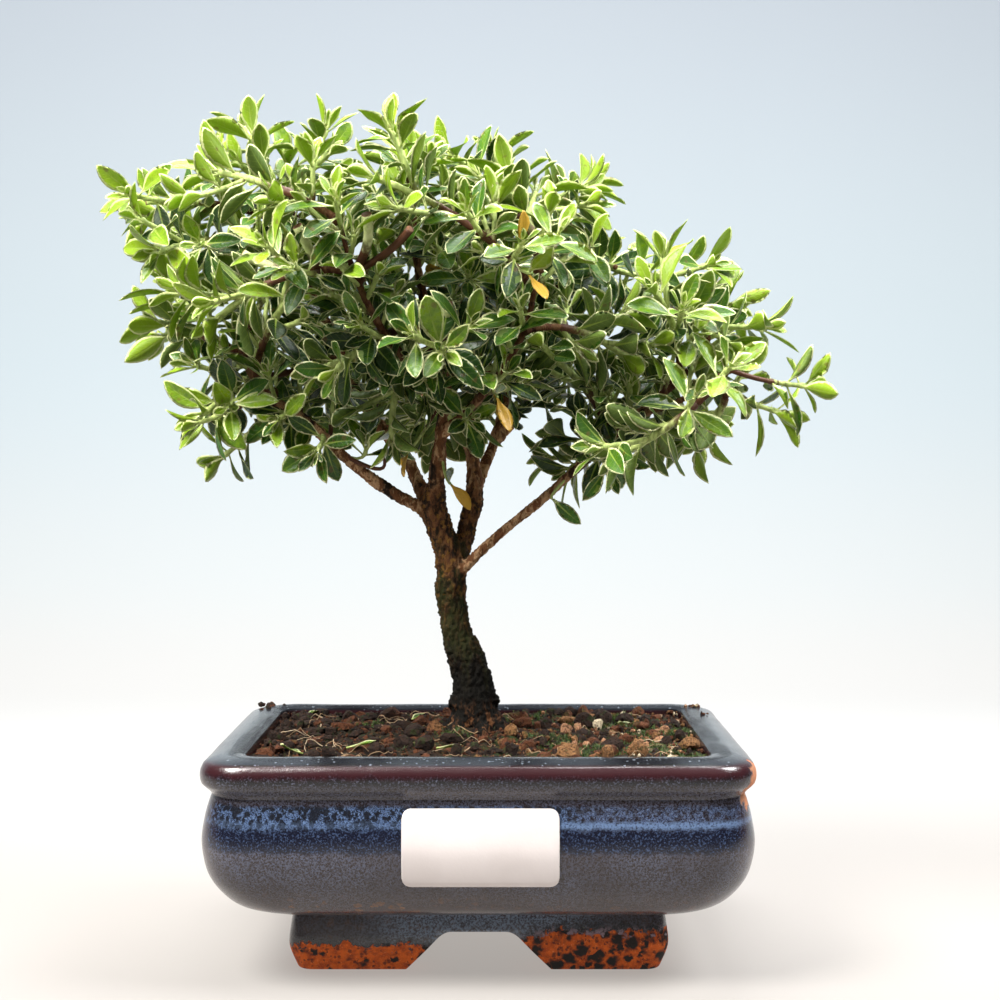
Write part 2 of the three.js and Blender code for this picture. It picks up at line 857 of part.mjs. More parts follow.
// A point on the middle surface of a leaf: share of the length, and across from -1 to 1.
function leafPoint(leaf, s, across) {
  const { at, along, face, sideways, length, width, curl } = leaf;
  return at
    .clone()
    .addScaledVector(along, s * length)
    .addScaledVector(sideways, across * width * leafHalf(s))
    .addScaledVector(face, LEAF.fold * width * Math.abs(across) - curl * length * s * s);
}

const leafChecks = (leaf) =>
  [0.15, 0.32, 0.5, 0.68, 0.86]
    .flatMap((s) => [-0.8, 0, 0.8].map((across) => leafPoint(leaf, s, across)))
    .concat(leafPoint(leaf, 1, 0));

// Sets one leaf on a side of a shoot, trying a few openings and turns until it is clear.
function growLeaf(shoot, frame, quarter, opening, size, random) {
  const length = size * between(random, 0.88, 1.12);
  const width = length * LEAF.widthShare * between(random, 0.9, 1.1);
  const curl = between(random, 0.06, 0.24);
  for (const [wider, swing] of LEAF.tries) {
    const out = turned(frame.side, frame.direction, 45 + 90 * quarter + swing);
    const angle = THREE.MathUtils.degToRad(opening + wider);
    const [lean, rise] = [Math.sin(angle), Math.cos(angle)];
    const along = frame.direction.clone().multiplyScalar(rise).addScaledVector(out, lean);
    const face = frame.direction
      .clone()
      .multiplyScalar(lean)
      .addScaledVector(out, -rise)
      .addScaledVector(UP, 0.5);
    face.addScaledVector(along, -face.dot(along)).normalize();
    const at = frame.point.clone().addScaledVector(out, 0.5);
    const leaf = { quarter, at, along, face, sideways: along.clone().cross(face), length, width, curl };
    const points = leafChecks(leaf);
    const need = (other) => {
      if (other.spray === shoot.spray && other.shoot === shoot.shoot) {
        return other.kind === "leaf" ? CLEAR.leafInShoot : 0;
      }
      const near = other.spray === shoot.spray;
      if (other.kind === "leaf") return near ? CLEAR.leafInSpray : CLEAR.leafToLeaf;
      return other.radius + (near ? CLEAR.leafToOwnStem : CLEAR.leafToStem);
    };
    if (!isClear(points, need)) continue;
    points.forEach((point) => mark(point, 0.9, "leaf", shoot.spray, shoot.shoot));
    return leaf;
  }
  return null;
}

// The leaves of a spray: opposite pairs, each pair square to the one before it.
function growLeaves(spray) {
  spray.shoots.forEach((shoot) => {
    const random = stream(1000 + spray.index * 16 + shoot.shoot);
    const reach = shoot.curve[0].distanceTo(shoot.curve[2]);
    const plan = shoot.cut ? LEAF.cutPairs : shoot.shoot === 0 ? LEAF.mainPairs : LEAF.sidePairs;
    plan.forEach(({ back, opening, size }, i) => {
      const end = 1 - back / reach;
      const frame = shootFrame(shoot, end - LEAF.node / 2 / reach);
      const leaves = [i % 2, (i % 2) + 2].map((quarter) =>
        growLeaf(shoot, frame, quarter, opening, size * LEAF.length, random),
      );
      shoot.pairs.unshift({ start: end - LEAF.node / reach, end, leaves });
    });
  });
}

// ---------------------------------------------------------------- the tree's solids

// A shoot with its leaves, as one closed skin. The stem is four-sided. At each pair of leaves it
// has a short stretch whose opposite sides are drawn out into blades, which are folded along the
// rib, thickest there, and thin out to the rim.
function shootSolid(shoot) {
  const { radii, pairs } = shoot;
  const points = [];
  const faces = [];
  const ring = (t) => {
    const { point, side, other } = shootFrame(shoot, t);
    const radius = radii[0] + (radii[1] - radii[0]) * t;
    const first = points.length;
    [side, other, side.clone().negate(), other.clone().negate()].forEach((way) =>
      points.push(point.clone().addScaledVector(way, radius)),
    );
    return first;
  };
  const blade = (leaf, lowRight, lowLeft, highRight, highLeft) => {
    const first = points.length;
    points.push(...LEAF.shoulders.map((s) => leafPoint(leaf, s, 1)));
    points.push(leafPoint(leaf, 1, 0));
    points.push(...LEAF.shoulders.map((s) => leafPoint(leaf, s, -1)).reverse());
    points.push(leafPoint(leaf, 0.5, 0));
    points.push(leafPoint(leaf, 0.5, 0).addScaledVector(leaf.face, -LEAF.thick));
    const rim = [0, 1, 2, 3, 4].map((i) => first + i);
    const [top, keel] = [first + 5, first + 6];
    const upper = [highLeft, highRight, ...rim];
    const lower = [lowLeft, lowRight, ...rim];
    upper.forEach((from, i) => faces.push(top, from, upper[(i + 1) % upper.length]));
    lower.forEach((from, i) => faces.push(keel, lower[(i + 1) % lower.length], from));
    faces.push(rim[0], highRight, lowRight, rim[4], lowLeft, highLeft);
  };
  const segment = (low, high, leaves) => {
    for (let i = 0; i < 4; i++) {
      const [a, b] = [low + i, low + ((i + 1) % 4)];
      const [c, d] = [high + i, high + ((i + 1) % 4)];
      const leaf = leaves.find((one) => one && one.quarter === i);
      if (leaf) blade(leaf, a, b, c, d);
      else faces.push(a, b, d, a, d, c);
    }
  };
  const first = ring(0);
  faces.push(first, first + 2, first + 1, first, first + 3, first + 2);
  let below = first;
  let reached = 0;
  const climb = (t, leaves = []) => {
    const above = ring(t);
    segment(below, above, leaves);
    [below, reached] = [above, t];
  };
  if (shoot.shoot === 0 && pairs[0].start > 0.5) climb(0.5);
  pairs.forEach(({ start, end, leaves }) => {
    if (start > reached + 0.01) climb(start);
    climb(end, leaves);
  });
  if (reached < 0.99) climb(1);
  faces.push(below, below + 1, below + 2, below, below + 2, below + 3);
  return solid(new THREE.BufferGeometry().setFromPoints(points).setIndex(faces));
}

function spraySolid(spray) {
  const joined = spray.shoots.map(shootSolid).reduce((made, shoot) => made.add(shoot));
  return mainBody(welded(joined, SPRAYS.weld));
}

// A twig's woody stretch, from the wood it springs from to the foot of its spray.
function twigSolid({ curve, start }) {
  const steps = [0, start / 2, start];
  const [thin, thick] = SPRAYS.twigRadii;
  return solid(
    tube(
      steps.map((t) => alongCurve(curve, t)),
      steps.map((t) => curveDirection(curve, t)),
      steps.map((t) => thin + ((thick - thin) * t) / start),
      3,
    ),
  );
}

function woodSolid(sprays) {
  let made = solid(trunkSkin());
  for (const limb of LIMBS) {
    const points = limb.path.map(vec);
    const radii = points.map((_, i) => {
      const share = i / (points.length - 1);
      return limb.radii[0] + (limb.radii[1] - limb.radii[0]) * share;
    });
    made = made.add(solid(tube(points, routeDirections(points), radii, 5)));
  }
  for (const spray of sprays) made = made.add(twigSolid(spray));
  return mainBody(made);
}

// ---------------------------------------------------------------- the whole

const finish = (color, roughness) => new THREE.MeshStandardMaterial({ color, roughness, metalness: 0 });
const glaze = finish(COLOURS.glaze, 0.25);
const earth = finish(COLOURS.soil, 0.95);
const plastic = finish(COLOURS.plastic, 0.6);
const paper = finish(COLOURS.paper, 0.7);
const bark = finish(COLOURS.bark, 0.85);
const foliage = finish(COLOURS.foliage, 0.5);

const sprays = growTwigs(limbNodes());
sprays.forEach((spray) => {
  spray.shoots = growShoots(spray);
});
sprays.forEach(growLeaves);

const bonsai = new THREE.Group();
bonsai.add(
  piece("pot", potSolid(), glaze),
  piece("drain_mesh_left", meshPlate(-POT.drain.offset), plastic),
  piece("drain_mesh_right", meshPlate(POT.drain.offset), plastic),
  piece("label", labelSolid(), paper),
  piece("soil", soilSolid(), earth),
  piece("trunk", woodSolid(sprays), bark),
);
sprays.forEach((spray, i) => {
  bonsai.add(piece(`spray_${String(i + 1).padStart(2, "0")}`, spraySolid(spray), foliage));
});

// Move the whole so that the origin lies under the middle of its box.
const middle = new THREE.Box3().setFromObject(bonsai).getCenter(new THREE.Vector3());
bonsai.position.set(-middle.x, -middle.y, 0);

export default bonsai;
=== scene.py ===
# A variegated serissa bonsai in its glazed pot: the finished surfaces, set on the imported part.
# Lengths are in millimetres about the middle of the pot, and become metres in toScene().
import math
import bpy
import bmesh
import numpy as np
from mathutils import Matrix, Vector, kdtree, noise


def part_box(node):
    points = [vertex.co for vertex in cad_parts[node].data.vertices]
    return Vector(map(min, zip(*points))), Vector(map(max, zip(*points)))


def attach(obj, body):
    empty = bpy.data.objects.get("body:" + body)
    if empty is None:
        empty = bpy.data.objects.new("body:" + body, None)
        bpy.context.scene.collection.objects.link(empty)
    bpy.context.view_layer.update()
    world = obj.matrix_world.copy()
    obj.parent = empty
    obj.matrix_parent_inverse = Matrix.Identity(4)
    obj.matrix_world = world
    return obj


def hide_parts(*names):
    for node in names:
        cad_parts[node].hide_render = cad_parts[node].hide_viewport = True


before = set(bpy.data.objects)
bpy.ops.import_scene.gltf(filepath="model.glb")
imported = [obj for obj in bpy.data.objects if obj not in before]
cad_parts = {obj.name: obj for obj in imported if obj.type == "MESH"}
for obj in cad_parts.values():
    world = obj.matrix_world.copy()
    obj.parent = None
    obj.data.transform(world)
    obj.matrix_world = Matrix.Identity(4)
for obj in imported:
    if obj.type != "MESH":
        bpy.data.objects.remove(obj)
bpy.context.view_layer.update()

potLow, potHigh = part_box("pot")
potMiddle = np.array([(potLow.x + potHigh.x) / 2, (potLow.y + potHigh.y) / 2, 0.0])


def toScene(points):
    return np.asarray(points, float) * 0.001 + potMiddle


# the camera stands where the picture is framed from

cameraSetup = {
    "place": (6.1, -525, 147),
    "lookDown": 1.43,  # degrees
    "lens": 62.1,
}


def placeCamera():
    camera = bpy.data.objects.new("camera", bpy.data.cameras.new("camera"))
    bpy.context.scene.collection.objects.link(camera)
    camera.location = toScene(cameraSetup["place"])
    camera.rotation_euler = (math.radians(90 - cameraSetup["lookDown"]), 0, 0)
    camera.data.lens = cameraSetup["lens"]
    camera.data.clip_start = 0.01
    bpy.context.scene.camera = camera


placeCamera()
print("camera placed")


# repeatable random numbers, the same stream for the same seed

def stream(seed):
    state = (seed * 2654435 + 12345) % 4294967296

    def draw():
        nonlocal state
        state = (state * 1664525 + 1013904223) % 4294967296
        return state / 4294967296

    for _ in range(3):
        draw()
    return draw


def between(random, low, high):
    return low + (high - low) * random()


# small vector mathematics

upward = np.array([0.0, 0.0, 1.0])


def unit(vector):
    return vector / np.linalg.norm(vector)


def sideOf(direction):
    side = np.cross(direction, upward)
    if np.linalg.norm(side) < 0.15:
        side = np.cross(direction, np.array([1.0, 0.0, 0.0]))
    return unit(side)


def turned(vector, axis, degrees):
    angle = math.radians(degrees)
    along = axis * (vector @ axis)
    return along + (vector - along) * math.cos(angle) + np.cross(axis, vector) * math.sin(angle)


def alongCurve(curve, t):
    return curve[0] * (1 - t) ** 2 + curve[1] * (2 * t * (1 - t)) + curve[2] * t * t


def curveDirection(curve, t):
    return unit((curve[1] - curve[0]) * (1 - t) + (curve[2] - curve[1]) * t)


def smoothPath(points, step):
    # a Catmull-Rom line through the rows; every column is carried along, radii too
    rows = np.asarray(points, float)
    padded = np.vstack([2 * rows[0] - rows[1], rows, 2 * rows[-1] - rows[-2]])
    made = []
    for i in range(len(rows) - 1):
        a, b, c, d = padded[i:i + 4]
        count = max(1, int(round(np.linalg.norm(c[:3] - b[:3]) / step)))
        for k in range(count):
            t = k / count
            made.append(0.5 * (2 * b + (c - a) * t + (2 * a - 5 * b + 4 * c - d) * t * t
                               + (3 * b - 3 * c + d - a) * t ** 3))
    made.append(rows[-1])
    return np.array(made)


def easeBetween(x, low, high):
    t = np.clip((x - low) / (high - low), 0, 1)
    return t * t * (3 - 2 * t)


# parts, which pieces are made of, are dictionaries: points, groups of faces, values of each point
# by name, and skins, the number of the material of each group

def joinParts(parts):
    names = sorted({key for part in parts for key in part["values"]})
    offset = 0
    points, faces, skins, values = [], [], [], {key: [] for key in names}
    for part in parts:
        count = len(part["points"])
        points.append(part["points"])
        faces += [np.asarray(group) + offset for group in part["faces"]]
        skins += part.get("skins", [part.get("skin", 0)] * len(part["faces"]))
        for key in names:
            values[key].append(np.broadcast_to(part["values"].get(key, 0.0), count))
        offset += count
    joined = {key: np.concatenate(value) for key, value in values.items()}
    return {"points": np.vstack(points), "faces": faces, "skins": skins, "values": joined}


def makeMesh(name, part):
    mesh = bpy.data.meshes.new(name)
    points = toScene(part["points"])
    mesh.vertices.add(len(points))
    mesh.vertices.foreach_set("co", points.astype(np.float32).ravel())
    flat = np.concatenate([group.ravel() for group in part["faces"]])
    sizes = np.concatenate([np.full(len(group), group.shape[1]) for group in part["faces"]])
    starts = np.concatenate([[0], np.cumsum(sizes)[:-1]])
    mesh.loops.add(len(flat))
    mesh.loops.foreach_set("vertex_index", flat.astype(np.int32))
    mesh.polygons.add(len(sizes))
    mesh.polygons.foreach_set("loop_start", starts.astype(np.int32))
    mesh.polygons.foreach_set("use_smooth", np.full(len(sizes), not part.get("crisp", False)))
    skins = part.get("skins", [0] * len(part["faces"]))
    skinOfFace = np.concatenate([np.full(len(g), skin) for g, skin in zip(part["faces"], skins)])
    mesh.polygons.foreach_set("material_index", skinOfFace.astype(np.int32))
    mesh.update(calc_edges=True)
    for key, value in part["values"].items():
        layer = mesh.attributes.new(key, "FLOAT", "POINT")
        layer.data.foreach_set("value", np.asarray(value, np.float32))
    return mesh


def newObject(name, mesh, *materials):
    made = bpy.data.objects.new(name, mesh)
    bpy.context.scene.collection.objects.link(made)
    for material in materials:
        made.data.materials.append(material)
    return made


def finishPiece(made, slotName, *replaced):
    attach(made, "root")
    if replaced:
        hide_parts(*replaced)
    return made


def applyModifiers(made):
    graph = bpy.context.evaluated_depsgraph_get()
    old = made.data
    made.data = bpy.data.meshes.new_from_object(made.evaluated_get(graph))
    made.modifiers.clear()
    bpy.data.meshes.remove(old)


def dress(mesh, material):
    # one material all over, shaded smooth
    mesh.polygons.foreach_set("use_smooth", np.ones(len(mesh.polygons), bool))
    mesh.materials.clear()
    mesh.materials.append(material)


def pointsOf(mesh):
    # the points of a mesh in the pot's frame, in millimetres
    places = np.empty(len(mesh.vertices) * 3, np.float32)
    mesh.vertices.foreach_get("co", places)
    return (places.reshape(-1, 3) - potMiddle) * 1000


def standOut(mesh, shape, amounts):
    # moves each point along its normal by shape(point) times its amount
    normals = np.empty(len(mesh.vertices) * 3, np.float32)
    mesh.vertex_normals.foreach_get("vector", normals)
    points = pointsOf(mesh)
    heights = np.array([shape(Vector(point)) for point in points]) * amounts
    moved = toScene(points + normals.reshape(-1, 3) * heights[:, None])
    mesh.vertices.foreach_set("co", moved.astype(np.float32).ravel())
    mesh.update()


def ringQuads(rings, sides):
    # the faces between rings of equal count, and the numbers round a ring
    around = np.arange(sides)
    after = (around + 1) % sides
    rows = np.arange(rings - 1)[:, None] * sides
    quads = np.stack([rows + around, rows + after, rows + after + sides, rows + around + sides], axis=-1)
    return quads.reshape(-1, 4), around, after


# a closed tube over a path, with a radius at each point and domed ends

def tubePart(path, radii, sides, dome=0.5, **values):
    path = np.asarray(path, float)
    radii = np.broadcast_to(np.asarray(radii, float), len(path))
    tangents = np.gradient(path, axis=0)
    tangents /= np.linalg.norm(tangents, axis=1)[:, None]
    side = sideOf(tangents[0])
    angles = np.arange(sides) / sides * 2 * math.pi
    rings = []
    for point, tangent, radius in zip(path, tangents, radii):
        side = unit(side - tangent * (side @ tangent))
        other = np.cross(tangent, side)
        rings.append(point + radius * (np.cos(angles)[:, None] * side + np.sin(angles)[:, None] * other))
    ends = [path[0] - tangents[0] * radii[0] * dome, path[-1] + tangents[-1] * radii[-1] * dome]
    points = np.vstack(rings + [np.array(ends)])
    count = len(path)
    quads, around, after = ringQuads(count, sides)
    last = (count - 1) * sides
    first = np.stack([np.full(sides, count * sides), after, around], axis=-1)
    final = np.stack([np.full(sides, count * sides + 1), last + around, last + after], axis=-1)
    lengths = np.concatenate([[0], np.cumsum(np.linalg.norm(np.diff(path, axis=0), axis=1))])
    reach = np.concatenate([np.repeat(lengths, sides), [lengths[0], lengths[-1]]])
    values["fromEnd"] = lengths[-1] - reach
    return {"points": points, "faces": [quads, first, final], "values": values}


print("helpers ready")


# how the tree grows: the trunk and limbs as given, the rest by the rules of the imported part

trunkShape = {
    # x, y, z, radius
    "path": [
        (0.4, 0, 48, 4.2), (-0.6, 0, 61, 6.6), (-1.5, 0, 69, 7), (-2.1, 0, 76.8, 6.2),
        (-3.1, 0, 82, 5.7), (-4.8, 0, 87.5, 5.5), (-6.9, 0, 93, 4.5), (-8, 0, 100, 4.2),
        (-9, 0, 106.6, 4.7), (-8.7, 0, 112, 4.4), (-9.6, -0.4, 118.5, 4.2), (-12, -1, 124.5, 3.9),
        (-13.8, -1.6, 131, 3.7), (-13.9, -2, 137, 2.9),
    ],
}

limbShapes = {
    "lowLeft": ((2.1, 1.1), [
        (-13.5, -1, 126.5), (-18, -2, 131.5), (-25.6, -5, 135.8), (-32.3, -8, 140.5),
        (-38.7, -10, 145.5), (-44.5, -12, 151.2), (-52.8, -14, 159.1), (-60, -15, 163.5),
        (-66, -14, 169), (-70.2, -12, 177)]),
    "upperLeft": ((2.6, 1.1), [
        (-14, -0.5, 131.5), (-18.8, 5, 138.4), (-23, 9, 147.3), (-27.5, 12, 152.5),
        (-34, 15, 160), (-41, 19, 173), (-49, 21, 190), (-58, 21, 207), (-66, 19, 222)]),
    "centreFront": ((2.5, 1), [
        (-13.9, -2, 134), (-12.9, -6, 140.7), (-12.2, -7.5, 147.3), (-10.9, -9, 160.7),
        (-10.3, -11, 169), (-12.6, -14, 180), (-16.5, -17, 194), (-19, -18, 211), (-20, -17, 229)]),
    "secondStem": ((3.4, 1), [
        (-8.6, 0, 114.5), (-4.8, 3.8, 122.1), (-3.5, 5, 127.6), (-2.2, 6, 133),
        (-1.8, 8, 139), (-2.6, 11, 150.7), (-2, 13, 160), (1, 14, 171),
        (0.5, 13, 183), (-0.8, 11, 197), (-2.5, 9, 214), (-3, 8, 231)]),
    "rightOfSecond": ((2, 0.9), [
        (-2, 6, 133), (0.8, 14, 142.9), (4.5, 20, 152.4), (8.6, 24, 168.3),
        (12.5, 26, 185.6), (23.9, 24, 199), (32.2, 20, 211)]),
    "lowRight": ((1.7, 1), [
        (-8, -1.2, 110.4), (-4, -3.4, 114.2), (1.3, -5, 119.5), (9.3, -7, 126.6),
        (18.1, -9, 133.8), (27.8, -11, 142.5), (37.8, -12, 151.2), (46.4, -12, 159.2),
        (54.5, -11, 165.7), (61.4, -9, 171.8), (66.8, -6, 178.5), (70.7, -3, 187)]),
    "outerRight": ((1.2, 0.7), [
        (46.4, -12, 159.2), (56.4, -19, 162.5), (63, -24, 165.8), (69.4, -28, 169.7),
        (75.4, -30, 174.2)]),
    "backLeft": ((1.8, 0.9), [
        (-2.6, 11, 150.7), (-8, 22, 155), (-16, 31, 163), (-25, 38, 175),
        (-34, 43, 191), (-40, 44, 208)]),
    "backRight": ((1.6, 0.9), [
        (4.5, 20, 152.4), (11, 30, 159), (17, 38, 171), (21, 42, 187), (22, 42, 203)]),
    "frontRight": ((1.5, 0.8), [
        (-11.5, -8.2, 154), (-3, -17, 161), (6, -26, 171), (13, -33, 183), (17, -37, 199)]),
    "frontLeft": ((1.6, 0.8), [
        (-10.4, -10.5, 167), (-19, -21, 173), (-28, -31, 184), (-35, -38, 199), (-39, -40, 213)]),
}

# the blobs near whose skin the shoot tips lie: centre, half sizes
canopyBlobs = np.array([
    [(-79, 0, 218), (26, 38, 24)],
    [(-25, 0, 215), (45, 54, 29)],
    [(22, 0, 215), (19, 40, 22)],
    [(56, -4, 190), (24, 32, 22)],
    [(74, -6, 172), (13, 20, 13)],
    [(-84, -5, 182), (20, 26, 15)],
    [(-25, 0, 185), (55, 54, 26)],
    [(28, -4, 164), (27, 38, 21)],
    [(42, -6, 151), (22, 26, 15)],
    [(-10, -4, 157), (22, 34, 12)],
    [(-70, -6, 161), (16, 22, 13)],
], float)

sprayGrowth = {
    "count": 42, "seed": 34, "candidates": 26,
    "skin": (0.82, 1), "heights": (-0.75, 1),
    "lowestTwig": 131, "shortest": 24, "choices": 60,
    "greenLength": 31, "greenShare": 0.62,
    "shootLength": (13, 18), "shootPlaces": (0.36, 0.66),
    "shootSwings": (0, 40, -40, 80, -80, 120), "shootAngle": math.radians(46),
    "cutEvery": 6,
    "gapToTwig": 0.3,
}

leafGrowth = {
    "length": 14.5, "widthShare": 0.42, "fold": 0.1, "node": 1.3,
    # pairs from the tip down: how far back, how wide open, how large
    "mainPairs": [(0, 32, 0.85), (1.3, 62, 1.05), (9, 66, 1.05)],
    "cutPairs": [(4, 52, 0.95), (10, 66, 1.05)],
    "sidePairs": [(0, 32, 0.85), (1.3, 64, 1)],
    # other openings and turns a leaf may take to be clear
    "tries": [(0, 0), (12, 0), (-12, 0), (0, 25), (0, -25), (14, 30), (14, -30), (-14, 40)],
}

clearances = {
    "stemToStem": 2.4, "shootToOther": 3.4, "shootInSpray": 1,
    "leafToLeaf": 3.3, "leafInSpray": 2.2, "leafInShoot": 1.7,
    "leafToStem": 2, "leafToOwnStem": 1.2, "most": 12,
}

stemKind, leafKind = 0, 1
wood = -1  # the spray number of the wood


class Grown:  # check points that keep growing things clear of each other
    def __init__(self, room=90000):
        self.points = np.zeros((3, room)).T
        self.facts = np.zeros((room, 4))  # radius, kind, spray, shoot
        self.count = 0

    def mark(self, points, radius, kind, spray=wood, shoot=-1):
        points = np.atleast_2d(points)
        end = self.count + len(points)
        self.points[self.count:end] = points
        self.facts[self.count:end] = (radius, kind, spray, shoot)
        self.count = end

    def isClear(self, points, need):
        points = np.atleast_2d(points)
        middle = points[len(points) >> 1]
        reach = np.linalg.norm(points - middle, axis=1).max() + clearances["most"]
        others = self.points[:self.count]
        near = np.flatnonzero(abs(others[:, 0] - middle[0]) <= reach)
        near = near[((others[near] - middle) ** 2).sum(1) <= reach * reach]
        if not len(near):
            return True
        least = need(self.facts[near])
        gaps = np.linalg.norm(points[:, None] - others[near][None], axis=2)
        return not (gaps < least).any()


grown = Grown()


def limbNodes():
    nodes = []
    for x, y, z, radius in trunkShape["path"]:
        grown.mark(np.array([x, y, z]), radius, stemKind)
    for (thick, thin), path in limbShapes.values():
        points = np.array(path, float)
        last = len(points) - 1
        for i in range(last):
            direction = points[i + 1] - points[i]
            length = np.linalg.norm(direction)
            steps = max(1, math.floor(length / 5 + 0.5))
            direction = direction / length
            for k in range(steps):
                point = points[i] + (points[i + 1] - points[i]) * (k / steps)
                grown.mark(point, thick + (thin - thick) * (i + k / steps) / last, stemKind)
                if point[2] > sprayGrowth["lowestTwig"] and i > 2:
                    nodes.append((point, direction))
        grown.mark(points[last], thin, stemKind)
        nodes.append((points[last], unit(points[last] - points[last - 1])))
    return nodes


def depthIn(blob, point):
    return np.linalg.norm((point - blob[0]) / blob[1])


def shootTips():
    random = stream(sprayGrowth["seed"])
    tips = []
    while len(tips) < sprayGrowth["count"]:
        best, loneliest = None, -1.0
        for _ in range(sprayGrowth["candidates"]):
            number = int(random() * len(canopyBlobs))
            height = between(random, *sprayGrowth["heights"])
            turn = between(random, 0, 2 * math.pi)
            reach = between(random, *sprayGrowth["skin"])
            level = math.sqrt(1 - height * height)
            centre, half = canopyBlobs[number]
            way = np.array([level * math.cos(turn), level * math.sin(turn), height])
            point = centre + half * reach * way
            others = [blob for i, blob in enumerate(canopyBlobs) if i != number]
            if any(depthIn(blob, point) < 0.82 for blob in others):
                continue
            lonely = min([80] + [np.linalg.norm(tip - point) for tip in tips])
            if best is None or lonely > loneliest:
                best, loneliest = point, lonely
        if best is not None:
            tips.append(best)
    return tips


def twigCurve(node, tip):
    point, direction = node
    length = np.linalg.norm(tip - point)
    leave = unit((tip - point) / length + direction * 0.8)
    control = point + leave * (0.5 * length)
    control[2] -= 0.1 * length
    return [point, control, tip]


def climbing(start, length):
    # shares of a twig 2 mm apart
    shares = []
    t = start
    while t < 1.001:
        shares.append(t)
        t += 2 / length
    return shares


def growTwigs(nodes):
    tips = shootTips()
    fromWood = [min(np.linalg.norm(point - tip) for point, _ in nodes) for tip in tips]
    made = []
    for number in sorted(range(len(tips)), key=lambda i: fromWood[i]):
        tip = tips[number]
        ways = tip - np.array([point for point, _ in nodes])
        lengths = np.linalg.norm(ways, axis=1)
        bends = 1 - (ways * np.array([direction for _, direction in nodes])).sum(1) / lengths
        costs = lengths * (1 + 0.6 * bends) + np.where(lengths < sprayGrowth["shortest"], 60, 0)
        for choice in np.argsort(costs, kind="stable")[:sprayGrowth["choices"]]:
            node, length = nodes[choice], lengths[choice]
            curve = twigCurve(node, tip)
            points = [alongCurve(curve, t) for t in climbing(0.14, length)]
            if not grown.isClear(points, lambda facts: facts[:, 0] + clearances["stemToStem"]):
                continue
            index = len(made)
            start = max(1 - sprayGrowth["greenShare"], 1 - sprayGrowth["greenLength"] / length)
            made.append({"curve": curve, "start": start, "length": length, "index": index})
            for t in climbing(0.06, length):
                grown.mark(alongCurve(curve, t), 0.9, stemKind, wood if t < start else index, 0)
                if 0.3 < t < start - 5 / length:
                    nodes.append((alongCurve(curve, t), curveDirection(curve, t)))
            break
    return made


def newShoot(curve, phase, spray, shoot, cut=False):
    direction = curveDirection(curve, 0)
    side = turned(sideOf(direction), direction, phase)
    return {"curve": curve, "side": side, "spray": spray, "shoot": shoot, "cut": cut, "leaves": []}


def shootFrame(shoot, t):
    direction = curveDirection(shoot["curve"], t)
    side = unit(shoot["side"] - direction * (shoot["side"] @ direction))
    return alongCurve(shoot["curve"], t), direction, side


def sideShootCurve(main, share, azimuth, reach):
    point, direction, _ = shootFrame(main, share)
    out = turned(sideOf(direction), direction, azimuth)
    angle = sprayGrowth["shootAngle"]
    leave = direction * math.cos(angle) + out * math.sin(angle)
    end = point + leave * reach + direction * (0.14 * reach)
    end[2] += 0.1 * reach
    return leave, [point, point + leave * (0.55 * reach), end]


def growShoots(spray):
    index, start, length, curve = spray["index"], spray["start"], spray["length"], spray["curve"]
    random = stream(100 + index)
    base = alongCurve(curve, start) + curveDirection(curve, start) * sprayGrowth["gapToTwig"]
    mainCurve = [base, curve[1] + (curve[2] - curve[1]) * start, curve[2]]
    cut = index % sprayGrowth["cutEvery"] == 2
    main = newShoot(mainCurve, between(random, 0, 90), index, 0, cut)
    shoots = [main]
    short = (1 - start) * length < 24
    azimuth = between(random, 0, 360)

    def need(facts):
        own = facts[:, 2] == index
        return facts[:, 0] + np.where(own, clearances["shootInSpray"], clearances["shootToOther"])

    for share in sprayGrowth["shootPlaces"]:
        azimuth += 137
        reach = between(random, *sprayGrowth["shootLength"]) * (0.8 if short else 1)
        for swing in sprayGrowth["shootSwings"]:
            leave, side = sideShootCurve(main, share, azimuth + swing, reach)
            if leave[2] < -0.45:
                continue
            if not grown.isClear([alongCurve(side, t) for t in (0.4, 0.6, 0.8, 1)], need):
                continue
            for t in (0.35, 0.5, 0.65, 0.8, 1):
                grown.mark(alongCurve(side, t), 0.7, stemKind, index, len(shoots))
            shoots.append(newShoot(side, between(random, 0, 90), index, len(shoots)))
            break
    return shoots


checkShares = np.repeat([0.15, 0.32, 0.5, 0.68, 0.86, 1], [3, 3, 3, 3, 3, 1])
checkAcross = np.array([-0.8, 0, 0.8] * 5 + [0])
checkHalf = 0.5 * np.sin(math.pi * checkShares ** 0.86).clip(0) ** 0.8


def leafChecks(leaf):
    length, width = leaf["length"], leaf["width"]
    lift = leafGrowth["fold"] * width * abs(checkAcross) - leaf["curl"] * length * checkShares ** 2
    return (leaf["at"] + (checkShares * length)[:, None] * leaf["along"]
            + (checkAcross * width * checkHalf)[:, None] * leaf["sideways"]
            + lift[:, None] * leaf["face"])


